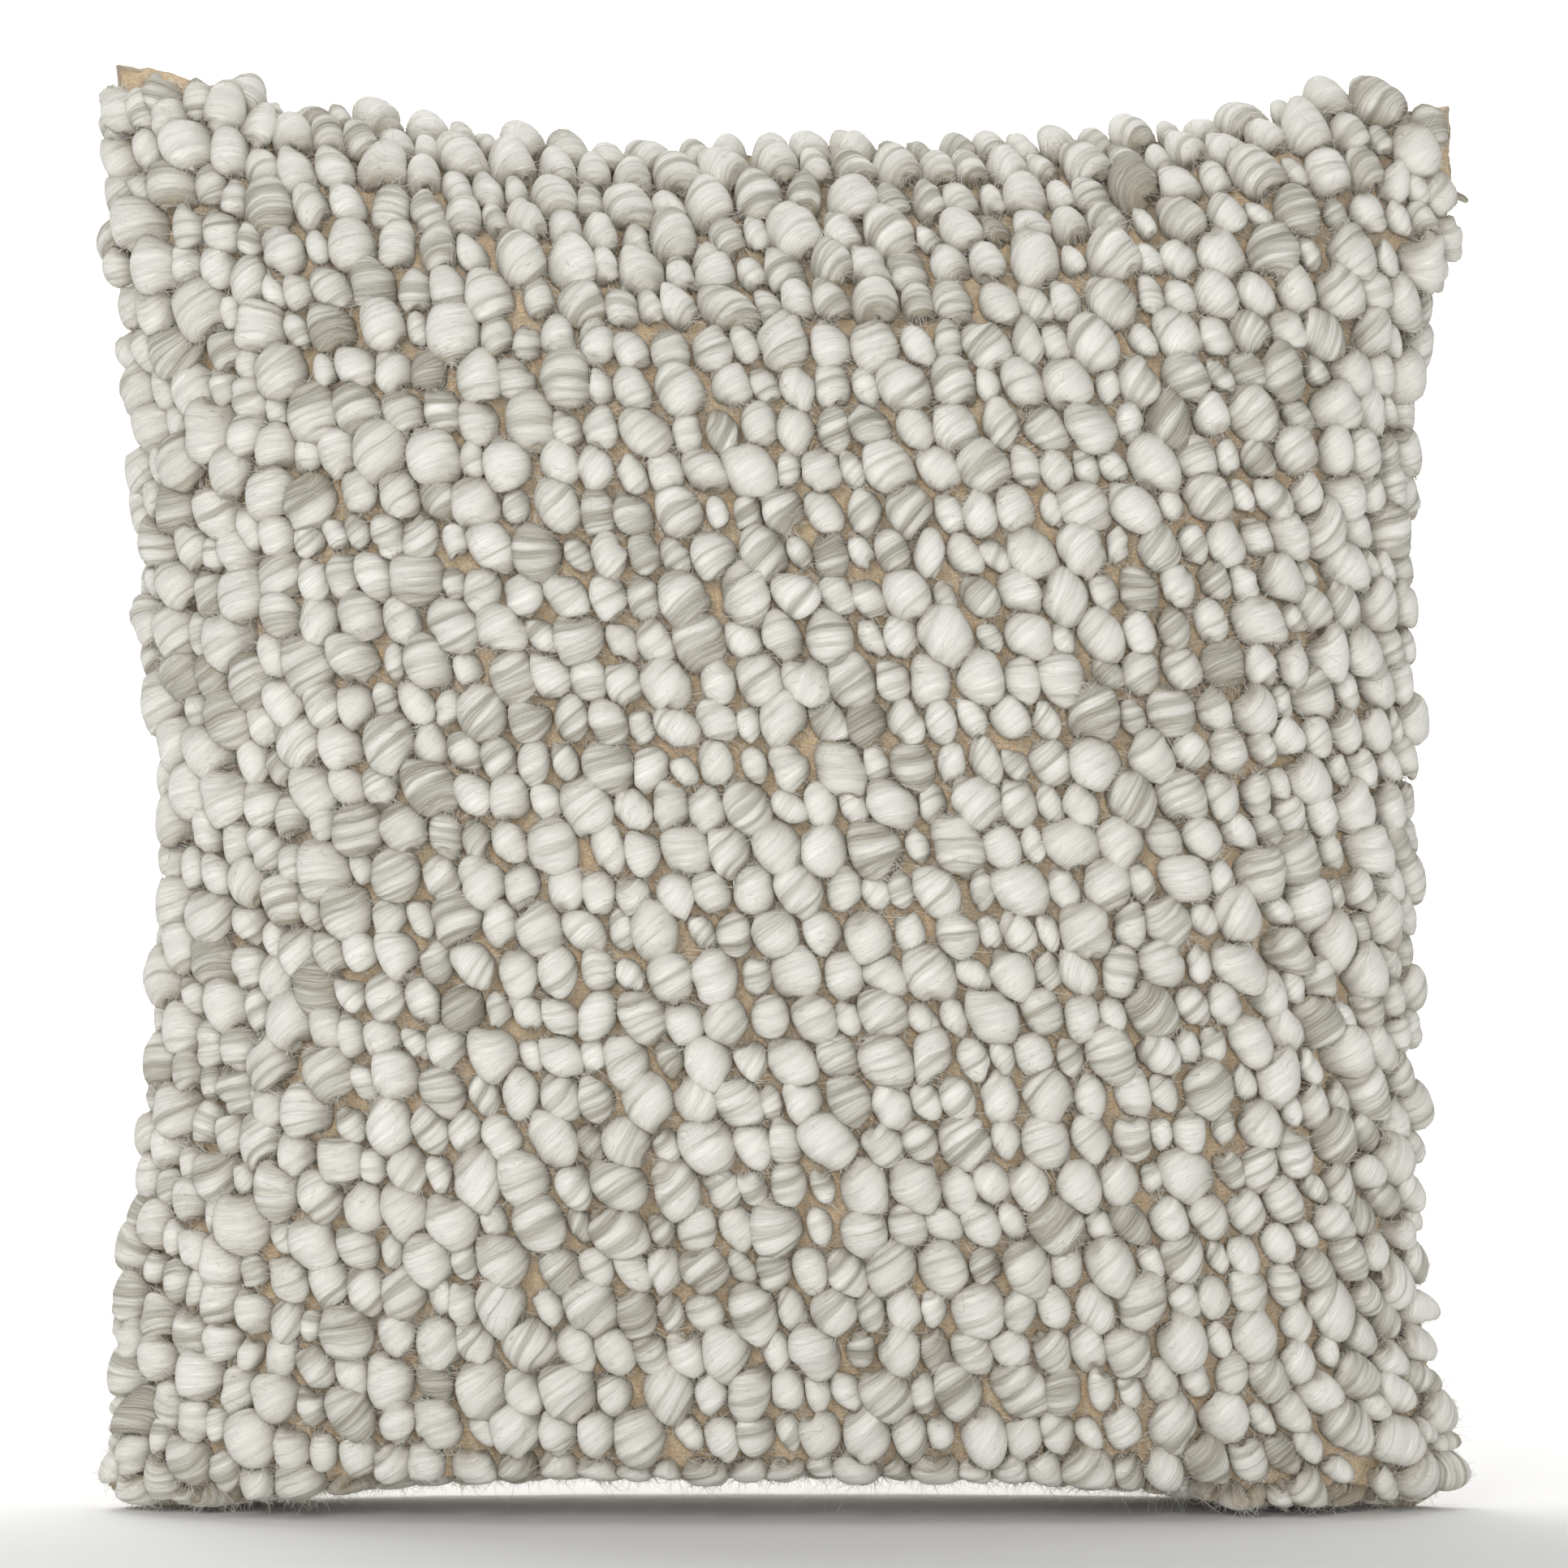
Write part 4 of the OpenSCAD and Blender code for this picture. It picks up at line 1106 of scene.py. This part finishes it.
def loop_pieces(groups):
    """One piece for each group of weft rows."""
    pieces = []
    rows = L[:, 3].astype(int)
    cell_f = grid_quads(NA, NR + 1)
    r = np.random.default_rng(14)
    offx, offy = r.uniform(0, 4000, nL), r.uniform(0, 4000, nL)
    for g, (j0, j1) in enumerate(groups):
        idx = np.nonzero((rows >= j0) & (rows < j1))[0]
        k = len(idx)
        if not k:
            continue
        P = LOOP[idx]  # k, NA, NR, 3
        caps = np.stack([P[:, 0].mean(1), P[:, -1].mean(1)], 1)  # k, 2, 3
        V = np.concatenate([P.reshape(k, -1, 3), caps], 1)
        per = NA * NR + 2
        # quads around each loop, closed, with two fans at its feet
        j, i = np.meshgrid(np.arange(NA - 1), np.arange(NR), indexing="ij")
        i2 = (i + 1) % NR
        Q = np.stack([j * NR + i, j * NR + i2, (j + 1) * NR + i2, (j + 1) * NR + i], -1).reshape(-1, 4)
        kk = np.arange(NR)
        kn = (kk + 1) % NR
        T0 = np.stack([np.full(NR, NA * NR), kn, kk], -1)
        T1 = np.stack([np.full(NR, NA * NR + 1), (NA - 1) * NR + kk, (NA - 1) * NR + kn], -1)
        off = np.arange(k)[:, None, None] * per
        QA = (Q[None] + off).reshape(-1, 4)
        TA = (np.concatenate([T0, T1])[None] + off).reshape(-1, 3)
        me = bpy.data.meshes.new(f"wool_loops_{g + 1:02d}")
        me.vertices.add(k * per)
        me.vertices.foreach_set("co", (V.reshape(-1, 3) * MM).astype(np.float32).ravel())
        loops = np.concatenate([QA.ravel(), TA.ravel()]).astype(np.int32)
        me.loops.add(len(loops))
        me.loops.foreach_set("vertex_index", loops)
        starts = np.concatenate([np.arange(len(QA)) * 4, len(QA) * 4 + np.arange(len(TA)) * 3]).astype(np.int32)
        me.polygons.add(len(starts))
        me.polygons.foreach_set("loop_start", starts)
        me.update(calc_edges=True)
        me.polygons.foreach_set("use_smooth", np.ones(len(starts), bool))
        # fibre map: x along the yarn, y around it, in mm, with the join on the loop's inside
        al = ALONG[idx]
        girth = np.pi * (RBX[idx].max(1) * 0.5 + 3.6 * W[idx] / 16)
        qx = np.stack([al[:, j.ravel()], al[:, j.ravel()], al[:, j.ravel() + 1], al[:, j.ravel() + 1]], -1)  # k, Q, 4
        ang = ((i.ravel()[:, None] + np.array([0, 1, 1, 0])[None]) / NR)  # Q, 4
        tw = TWIST[idx][:, None, None] / (2 * np.pi) * (np.stack([j.ravel(), j.ravel(), j.ravel() + 1, j.ravel() + 1], -1)[None] / (NA - 1) * 2 - 1)
        # the yarn's outside is at angle 0, so the map starts on the inside
        angs = (ang[None] + 0.5) % 1.0
        wrap = (angs.max(-1, keepdims=True) - angs.min(-1, keepdims=True)) > 0.5
        angs = np.where(wrap & (angs < 0.5), angs + 1, angs)
        qy = (angs - tw) * 2 * girth[:, None, None]
        quv = np.stack([qx + offx[idx][:, None, None], qy + offy[idx][:, None, None]], -1).reshape(-1, 2)
        tx = np.repeat(np.stack([al[:, 0], al[:, -1]], 1), NR, 1)[..., None].repeat(3, -1)
        tuv = np.stack([tx + offx[idx][:, None, None], np.broadcast_to((np.concatenate([kk, kk]) / NR)[None, :, None], tx.shape) * 2 * girth[:, None, None] + offy[idx][:, None, None]], -1).reshape(-1, 2)
        lay = me.uv_layers.new(name="fibre")
        lay.data.foreach_set("uv", np.concatenate([quv, tuv]).astype(np.float32).ravel())
        # a second map gives each loop a cell of its own, for baking
        cols = int(math.ceil(math.sqrt(k)))
        cx, cy = np.arange(k) % cols, np.arange(k) // cols
        m_ = 0.06
        fx = (j.ravel()[:, None] + np.array([0, 0, 1, 1])[None]) / (NA - 1)
        fy = ang
        ox = (cx[:, None, None] + m_ + (1 - 2 * m_) * fy[None]) / cols
        oy = (cy[:, None, None] + m_ + (1 - 2 * m_) * (0.03 + 0.94 * fx)[None]) / cols
        ouv = np.stack([ox, oy], -1).reshape(-1, 2)
        tfy = np.concatenate([np.stack([(kk + 0.5) / NR, (kk + 1) / NR, kk / NR], -1)] * 2)
        tfx = np.concatenate([np.tile([0.0, 0.03, 0.03], (NR, 1)), np.tile([1.0, 0.97, 0.97], (NR, 1))])
        tfy[NR:] = np.stack([(kk + 0.5) / NR, kk / NR, (kk + 1) / NR], -1)
        ox = (cx[:, None, None] + m_ + (1 - 2 * m_) * tfy[None]) / cols
        oy = (cy[:, None, None] + m_ + (1 - 2 * m_) * tfx[None]) / cols
        lay2 = me.uv_layers.new(name="OFBake")
        lay2.data.foreach_set("uv", np.concatenate([ouv, np.stack([ox, oy], -1).reshape(-1, 2)]).astype(np.float32).ravel())
        me.uv_layers.active = me.uv_layers["fibre"]
        me.uv_layers["fibre"].active_render = True
        for nm, val in (("_marl", MARL), ("_tone", TONE)):
            set_attr(me, nm, np.repeat(val[idx], per))
        # painted shade masks for the wool colour: feet, flanks and leg fold, with full shade on the two foot caps, then
        # the grooves
        shade_paint = np.concatenate([SHADE_PAINT_MASK[idx].reshape(k, -1), np.ones((k, 2))], 1).ravel()
        set_attr(me, "_painted_shade", shade_paint)
        set_attr(me, "_crease_shade", np.concatenate([GROOVE_SHADE[idx].reshape(k, -1), np.zeros((k, 2))], 1).ravel())
        ob = bpy.data.objects.new(me.name, me)
        bpy.context.scene.collection.objects.link(ob)
        me.materials.append(M_WOOL)
        pieces.append(ob)
    return pieces


groups = [(j, min(j + 2, ROWS)) for j in range(0, ROWS, 2)]
for ob in loop_pieces(groups):
    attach(ob, "cushion")
    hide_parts("wool_roving_rows")



def yarn_end():
    """The short grey end of a roving that is caught in the seam below the upper right corner."""
    k = np.linspace(0, 1, 10)
    path = np.stack([237 + 6.5 * k, SEAM_Y - 3.0 + 1.0 * k, 467.5 - 3.5 * k + 1.6 * np.sin(2.2 * k)], -1)
    V, F, uv = tube(path, 1.9 * (1 - 0.6 * k**2) * (1 + 0.12 * np.sin(9 * k)), 12)
    ob = tubes("roving_yarn_end", [(V, F, uv * np.array([1.0, 9.7]))], M_WOOL, "fibre")
    # grey marl and its own tone, with an even share of painted shade and none in the creases
    for nm, v in (("_marl", 1.1), ("_tone", 0.3), ("_painted_shade", 0.35), ("_crease_shade", 0.0)):
        set_attr(ob.data, nm, np.full(len(V), v))
    return ob


end_ob = yarn_end()
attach(end_ob, "cushion")

# ---------------------------------------------------------------- stray fibres


def fuzz_material():
    m, nt, b = material("stray_fibres")
    n1 = noise(nt, coords(nt), 90.0, 2.0)
    nt.links.new(ramp(nt, n1, [(0.38, (0.46, 0.43, 0.35)), (0.48, (0.66, 0.635, 0.56)), (0.60, (0.90, 0.885, 0.83))]), b.inputs["Base Color"])
    b.inputs["Roughness"].default_value = 0.6
    b.inputs["Sheen Weight"].default_value = 0.2
    return m


def fuzz(name, count, seed, mat, long=False):
    r = np.random.default_rng(seed)
    i = r.choice(nL, count, p=W * H / (W * H).sum())
    a = r.integers(3, NA - 3, count)
    # none inside a loop, and most at its sides, where fibres are rubbed loose
    ph = 2 * np.pi * np.arange(NR) / NR
    share = np.where(np.cos(ph) > -0.45, 0.30 + np.abs(np.sin(ph)) ** 2, 0)
    c = r.choice(NR, count, p=share / share.sum())
    P = LOOP[i, a, c]
    along = LOOP[i, a + 1, c] - LOOP[i, a - 1, c]
    along /= np.maximum(np.linalg.norm(along, axis=1, keepdims=True), 1e-6)
    side = LOOP[i, a, (c + 1) % NR] - LOOP[i, a, (c - 1) % NR]
    N = np.cross(side, along)
    N /= np.maximum(np.linalg.norm(N, axis=1, keepdims=True), 1e-9)
    mid = LOOP[i].mean((1, 2))
    N = np.where(((P - mid) * N).sum(1, keepdims=True) < 0, -N, N)
    k, sides = (7 if long else 3), 3
    length = r.uniform(5, 11, count) if long else 0.6 + r.gamma(2.5, 0.85, count)
    tt = np.linspace(0, 1, k)
    curl = r.normal(0, 0.5, (count, 3)) * (0.22 if long else 1.0)
    sgn = np.where(r.random(count) < 0.5, -1, 1)[:, None]
    lift = np.where(r.random(count) < 0.25, r.uniform(0.02, 0.12, count), r.uniform(0.45, 1.7, count))[:, None]
    d0 = along * sgn + N * lift + 0.28 * r.standard_normal((count, 3))
    d0 /= np.linalg.norm(d0, axis=1, keepdims=True)
    if long:
        lift = lift * 0.5
    path = P[:, None] - N[:, None] * 0.1 + d0[:, None] * (length[:, None] * tt)[..., None] + curl[:, None] * (length[:, None] * tt**2 * 0.55)[..., None]
    if long:
        wave = r.normal(0, 0.9, (count, 2, 3))
        ph = r.uniform(0, 6.28, (count, 1))
        path = path + wave[:, :1] * (np.sin(ph + 3.5 * tt[None]) - np.sin(ph))[..., None] + wave[:, 1:] * (np.cos(ph + 6.0 * tt[None]) - np.cos(ph))[..., None] * 0.4
    rad = 0.085 * (1 - 0.55 * tt)
    T = np.gradient(path, axis=1)
    T /= np.maximum(np.linalg.norm(T, axis=2, keepdims=True), 1e-9)
    A = np.cross(T, N[:, None])
    A /= np.maximum(np.linalg.norm(A, axis=2, keepdims=True), 1e-9)
    B = np.cross(T, A)
    ang = 2 * np.pi * np.arange(sides) / sides
    V = path[:, :, None] + rad[None, :, None, None] * (np.cos(ang)[None, None, :, None] * A[:, :, None] + np.sin(ang)[None, None, :, None] * B[:, :, None])
    V[..., 2] = np.maximum(V[..., 2], 0.1)
    V[..., 1] = np.maximum(V[..., 1], -87.0 + 0.15 * np.minimum(V[..., 1] + 87.0, 0))
    F = grid_quads(k, sides, close_i=True)
    FF = (F[None] + (np.arange(count) * k * sides)[:, None, None]).reshape(-1, 4)
    ob = make(name, V.reshape(-1, 3) * MM, FF)
    # every fibre has a cell of its own for baking
    cols = int(math.ceil(math.sqrt(count)))
    j, q = np.meshgrid(np.arange(k - 1), np.arange(sides), indexing="ij")
    j, q = j.ravel()[:, None], q.ravel()[:, None]
    fx = (q + np.array([[0, 1, 1, 0]])) / sides * 0.8 + 0.1
    fy = (j + np.array([[0, 0, 1, 1]])) / (k - 1) * 0.8 + 0.1
    ox = ((np.arange(count) % cols)[:, None, None] + fx[None]) / cols
    oy = ((np.arange(count) // cols)[:, None, None] + fy[None]) / cols
    lay = ob.data.uv_layers.new(name="OFBake")
    lay.data.foreach_set("uv", np.stack([ox, oy], -1).astype(np.float32).ravel())
    ob.data.materials.append(mat)
    return ob


M_FUZZ = fuzz_material()
for q in range(12):
    fz = fuzz(f"stray_wool_fibres_{q + 1:02d}", 14000, 15 + q, M_FUZZ)
    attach(fz, "cushion")
fz = fuzz("long_wool_fibres", 5000, 61, M_FUZZ, long=True)
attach(fz, "cushion")

# ---------------------------------------------------------------- back panels


def half_gap(x):
    return mix(ZIP_GAP / 2, 0.08, smooth(ZIP_HALF + 1.2, ZIP_HALF + 6.4, np.abs(x)))


def back_panel(upper):
    nu = 241
    ends = np.concatenate([ZIP_HALF + np.arange(-1, 10, 0.45), -ZIP_HALF - np.arange(-1, 10, 0.45)]) / HALF_E
    u = np.sort(np.concatenate([to_u(np.linspace(0, 1, nu)), ends]))
    u = u[np.concatenate([[True], np.diff(u) > 4e-4])]
    cut = v_at(u, ZIP_Z + (1 if upper else -1) * half_gap(u * HALF_E))
    nv = 171 if upper else 61
    k = np.linspace(0, 1, nv)[:, None]
    if upper:
        w = mix(k, (1 - np.cos(np.pi * k)) / 2, 0.6)
        V = mix(cut[None], 1.0, w)
    else:
        w = mix(k, (1 - np.cos(np.pi * k)) / 2, 0.6)
        V = mix(-1.0, cut[None], w)
    U = np.broadcast_to(u[None], V.shape)
    P, N = cover(1, U, V), cover_normal(1, U, V)
    e = np.minimum(np.minimum(U + 1, 1 - U) * 240, (1 - V if upper else V + 1) * 250)
    P = P - N * (0.9 * np.exp(-e / 1.3))[..., None]
    P[..., 1] = np.maximum(P[..., 1], SEAM_Y + 0.05)
    # topstitching draws the folded edge in, and the fold beside the zip stands a little fuller
    dz = np.abs(P[..., 2] - ZIP_Z)
    on = 1 - smooth(ZIP_HALF + 2, ZIP_HALF + 12, np.abs(P[..., 0]))
    zs = ZIP_GAP / 2 + 3.2
    prick = 0.75 + 0.25 * np.cos(P[..., 0] * 2 * np.pi / (2 * ZIP_HALF / 86))
    P = P - N * (on * 0.42 * prick * np.exp(-(((dz - zs) / 0.9) ** 2)))[..., None]
    P = P + N * (on * 0.22 * np.exp(-(((dz - zs + 2.1) / 1.1) ** 2)))[..., None]
    P[..., 2] = np.maximum(P[..., 2], 0)
    uv = cloth_map(P)
    return shell("back_panel_" + ("upper" if upper else "lower") + "_woven", P, N, BCLOTH, M_BACK, uv)


bu, bl = back_panel(True), back_panel(False)
for ob, nm in ((bu, "back_panel_upper"), (bl, "back_panel_lower")):
    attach(ob, "cushion")
    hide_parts(nm)

# ---------------------------------------------------------------- seam thread and stitches


def seam_points(n):
    k = np.arange(n) / n * 4
    s = np.floor(k).astype(int)
    f = k - s
    w = f * 2 - 1
    u = np.choose(s, [w, np.ones(n), -w, -np.ones(n)])
    v = np.choose(s, [-np.ones(n), w, np.ones(n), -w])
    return u, v


def edge_seam():
    """Lockstitches in the groove of the edge seam, each a short hump of thread."""
    n = 2000 * 3
    u, v = seam_points(n)
    P = own_outline(np.stack([flat_x(u, v), np.zeros(n) + SEAM_Y, flat_z(u, v)], -1), u, v)
    run = np.concatenate([[0], np.cumsum(np.linalg.norm(np.diff(P, axis=0), axis=1))])
    total = run[-1]
    m = int(total / 3.1)
    items = []
    T = np.gradient(P, axis=0)
    T /= np.linalg.norm(T, axis=1, keepdims=True)
    O = np.stack([T[:, 2], 0 * T[:, 0], -T[:, 0]], -1)
    cen = np.array([0, SEAM_Y, 255.0])
    O = np.where(((P - cen) * O).sum(1, keepdims=True) < 0, -O, O)
    for q in range(m):
        d = (q + np.linspace(0.10, 0.90, 6)) * total / m
        pt = np.stack([np.interp(d, run, P[:, a]) for a in range(3)], -1)
        oo = np.stack([np.interp(d, run, O[:, a]) for a in range(3)], -1)
        hump = np.sin(np.linspace(0, np.pi, 6))[:, None]
        pt = pt + oo * (-1.05 + 0.5 * hump)
        pt[:, 1] += np.linspace(-0.25, 0.25, 6)
        pt[:, 2] = np.maximum(pt[:, 2], 0.4)
        items.append(tube(pt, 0.28 + 0.08 * hump[:, 0], 6))
    return tubes("edge_seam_stitches", items, M_SEAM)


es = edge_seam()
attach(es, "cushion")
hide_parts("edge_seam_thread")


def surface_stitches(name, side, ab, lift, rad, mat):
    items = []
    for (u0, v0), (u1, v1) in ab:
        k = np.linspace(0, 1, 7)
        u, v = mix(u0, u1, k), mix(v0, v1, k)
        P, N = cover(side, u, v), cover_normal(side, u, v)
        hump = np.sin(np.pi * k)
        P = P + N * (lift * hump - 0.35)[:, None]
        items.append(tube(P, rad * (0.8 + 0.2 * hump), 8))
    return tubes(name, items, mat)


cs = surface_stitches(
    "corner_edge_stitches",
    -1,
    [((-0.965 + k * 0.014, 0.978), (-0.957 + k * 0.014, 0.978)) for k in range(11)]
    + [((0.968, 0.86 + k * 0.014), (0.968, 0.868 + k * 0.014)) for k in range(10)]
    + [((-0.965 + k * 0.014, -0.978), (-0.957 + k * 0.014, -0.978)) for k in range(13)],
    0.75,
    0.36,
    thread_material("corner_thread", (0.52, 0.38, 0.25)),
)
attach(cs, "cushion")
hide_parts("corner_stitches")

M_TOP = thread_material("topstitch_thread", (0.74, 0.67, 0.54))
for sgn, nm in ((1, "zip_topstitch_upper"), (-1, "zip_topstitch_lower")):
    zs = ZIP_Z + sgn * (ZIP_GAP / 2 + 3.2)
    pitch = 2 * ZIP_HALF / 86
    ab = []
    for k in range(86):
        x0 = -ZIP_HALF + k * pitch
        u0, u1 = (x0 + 0.08 * pitch) / HALF_E, (x0 + 0.80 * pitch) / HALF_E
        ab.append(((u0, float(v_at(u0, zs))), (u1, float(v_at(u1, zs)))))
    ob = surface_stitches(nm + "_stitches", 1, ab, 0.62, 0.27, M_TOP)
    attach(ob, "cushion")
    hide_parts(nm)

# ---------------------------------------------------------------- zip


def zip_frame(a):
    """Origin and the three directions on the zip at angle a: along, outwards, up."""
    along = np.stack([np.cos(a), -np.sin(a), 0 * a], -1)
    rad = np.stack([np.sin(a), np.cos(a), 0 * a], -1)
    up = np.array([0, 0, 1.0])
    outw = rad * math.cos(LEAN) - up * math.sin(LEAN)
    upw = rad * math.sin(LEAN) + up * math.cos(LEAN)
    o = np.stack([0 * a, AXIS_Y + 0 * a, CHAIN_Z + 0 * a], -1) + rad * CHAIN_R
    return o, along, outw, upw


def coil(sgn):
    per = 12
    end = END_A - math.radians(0.27)
    # a whole number of turns fits in the slider's travel of 24.3 degrees, so it meets the coil alike at both ends
    travel = math.radians(24.3)
    pitch = travel / round(travel / (2 * end / 240))
    k = np.arange(int(2 * end / pitch * per) + 1) / per
    a = k * pitch - end
    o, al, ow, up = zip_frame(a)
    ph = 2 * np.pi * k
    # a flattened spiral, its heads towards the middle of the chain
    yy = 0.80 * np.cos(ph)
    zz = sgn * 1.27 + 1.12 * np.sin(ph)
    return tube(o + ow * yy[:, None] + up * zz[:, None], 0.29, 6)


for sgn, nm in ((1, "zip_coil_upper"), (-1, "zip_coil_lower")):
    ob = tubes(nm + "_spiral", [coil(sgn)], M_COIL)
    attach(ob, "cushion")
    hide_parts(nm)

for nm in ("zip_tape_upper", "zip_tape_lower"):
    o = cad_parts[nm]
    o.data.materials.clear()
    o.data.materials.append(M_TAPE)


def softened(cad, name, width):
    """A copy of a CAD piece with its edges rounded."""
    import bmesh
    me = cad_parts[cad].data.copy()
    me.name = name
    bm = bmesh.new()
    bm.from_mesh(me)
    bmesh.ops.remove_doubles(bm, verts=bm.verts, dist=1e-6)
    bmesh.ops.dissolve_limit(bm, angle_limit=0.02, verts=bm.verts, edges=bm.edges)
    bm.to_mesh(me)
    bm.free()
    me.materials.clear()
    me.materials.append(M_METAL)
    ob = bpy.data.objects.new(name, me)
    bpy.context.scene.collection.objects.link(ob)
    b = ob.modifiers.new("round", "BEVEL")
    b.width = width
    b.segments = 3
    b.limit_method = "ANGLE"
    b.angle_limit = math.radians(40)
    w = ob.modifiers.new("wn", "WEIGHTED_NORMAL")
    w.keep_sharp = True
    me.polygons.foreach_set("use_smooth", np.ones(len(me.polygons), bool))
    return ob


for cad, name, body, width in (
    ("zip_slider", "zip_slider_cast", "zip_slider", 0.00016),
    ("zip_pull_tab", "zip_pull_tab_cast", "zip_pull", 0.00022),
    ("zip_top_stops", "zip_top_stops_cast", "cushion", 0.00012),
    ("zip_bottom_stop", "zip_bottom_stop_cast", "cushion", 0.00012),
):
    ob = softened(cad, name, width)
    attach(ob, body)
    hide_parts(cad)

# ---------------------------------------------------------------- insert, inside the cover


def inset(side, U, V, d):
    P = cover(side, U, V)
    P[..., 1] -= SEAM_Y
    P = P * np.array([1 - d / (BW / 2), 1 - d / (FT if side < 0 else BT), 1]) + np.array([0, 0, 0])
    P[..., 2] = MID_Z + (P[..., 2] - MID_Z) * (1 - d / MID_Z)
    P[..., 1] += SEAM_Y
    return P


def insert_pieces():
    n = 61
    U, V = np.meshgrid(to_u(np.linspace(0, 1, n)), to_v(np.linspace(0, 1, n)))
    uv = np.stack([to_s(U) * 470, to_t(V) * 510], -1)
    out = []
    for side, nm in ((-1, "insert_casing_front"), (1, "insert_casing_back")):
        P, Q = inset(side, U, V, 7.6), inset(side, U, V, 8.4)
        N = (P - Q)
        N /= np.maximum(np.linalg.norm(N, axis=-1, keepdims=True), 1e-9)
        P[..., 1] += side * 0.2
        ob = shell(nm + "_cloth", P, N, 0.6, M_INSERT, uv, round_rim=False)
        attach(ob, "cushion")
        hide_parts(nm)
        out.append(ob)
    Pf, Pb = inset(-1, U, V, 11.4), inset(1, U, V, 11.4)
    fidx = np.arange(n * n).reshape(n, n)
    bidx = fidx.copy()
    bidx[1:-1, 1:-1] = n * n + np.arange((n - 2) ** 2).reshape(n - 2, n - 2)
    q = lambda ix: np.stack([ix[:-1, :-1], ix[:-1, 1:], ix[1:, 1:], ix[1:, :-1]], -1).reshape(-1, 4)
    ob = make("insert_filling_body", np.concatenate([Pf.reshape(-1, 3), Pb[1:-1, 1:-1].reshape(-1, 3)]) * MM, np.concatenate([q(fidx), q(bidx)[:, ::-1]]))
    fix_normals(ob)
    ob.data.materials.append(M_INSERT)
    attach(ob, "cushion")
    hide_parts("insert_fill")
    out.append(ob)
    return out


cas_f, cas_b, fill = insert_pieces()
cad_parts["insert_seam_thread"].data.materials.clear()
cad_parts["insert_seam_thread"].data.materials.append(M_INSERT)

# ---------------------------------------------------------------- floor, light and camera
PX = 0.2888  # mm of the object to one of the frame's 1932 pixels, at the seam
SWEEP_Y = 2.2  # m, where the floor begins to curve up


def stage():
    """A pale floor that sweeps up behind the object without a line, far enough back to stay behind a camera that looks at the zip."""
    m, nt, b = material("studio_paper")
    n1 = noise(nt, coords(nt), 3.0, 2.0)
    nt.links.new(mix_colour(nt, n1, (0.86, 0.86, 0.855), (0.88, 0.88, 0.875)), b.inputs["Base Color"])
    b.inputs["Roughness"].default_value = 0.95
    b.inputs["Specular IOR Level"].default_value = 0.1
    k = 24
    ys = [-6.0, -3.0, 0.0, 1.2, SWEEP_Y]
    zs = [0.0] * 5
    for i in range(1, k + 1):
        a = math.pi / 2 * i / k
        ys.append(SWEEP_Y + 4.0 * math.sin(a))
        zs.append(2.0 * (1 - math.cos(a)))
    ys.append(SWEEP_Y + 4.0)
    zs.append(6.0)
    V = [(x, y, z) for y, z in zip(ys, zs) for x in (-7.0, 7.0)]
    F = [(2 * i, 2 * i + 1, 2 * i + 3, 2 * i + 2) for i in range(len(ys) - 1)]
    ob = make("studio_sweep", V, F)
    ob.data.materials.append(m)


stage()


def area(name, loc, target, size, power, colour=(1, 1, 1)):
    d = bpy.data.lights.new(name, "AREA")
    d.shape = "RECTANGLE"
    d.size, d.size_y = size
    d.energy = power
    d.color = colour
    o = bpy.data.objects.new(name, d)
    bpy.context.scene.collection.objects.link(o)
    o.location = loc
    o.rotation_euler = (Vector(target) - Vector(loc)).to_track_quat("-Z", "Y").to_euler()
    return o


area("key", (-0.9, -2.9, 1.25), (0, 0, 0.25), (0.9, 0.9), 27, (1, 0.99, 0.97))
area("front", (0.3, -3.3, 0.42), (0, 0, 0.22), (0.9, 0.8), 37)
area("back", (-1.2, 1.6, 2.0), (0, 0.1, 0.3), (1.6, 1.6), 22)
area("sweep", (0, 0.9, 2.9), (0, 3.0, 1.2), (4.0, 0.8), 110)
area("sweep_far", (0, 3.6, 3.2), (0, 5.6, 0.9), (4.5, 1.0), 170)
world = bpy.data.worlds.new("studio")
bpy.context.scene.world = world
world.use_nodes = True
bg = world.node_tree.nodes["Background"]
bg.inputs[0].default_value = (1.0, 1.0, 1.0, 1)
bg.inputs[1].default_value = 0.38

cam_d = bpy.data.cameras.new("camera")
cam = bpy.data.objects.new("camera", cam_d)
bpy.context.scene.collection.objects.link(cam)
DIST = 2.6
cam_d.sensor_width = 36.0
cam_d.lens = 36.0 * DIST / (1932 * PX * MM)
cam_d.clip_end = 60
cz = (1859 - 966) * PX * MM
cam.location = (0.0, -DIST, cz)
cam.rotation_euler = (math.pi / 2, 0, 0)
bpy.context.scene.camera = cam
bpy.context.scene.view_settings.view_transform = "Standard"

bpy.context.view_layer.update()
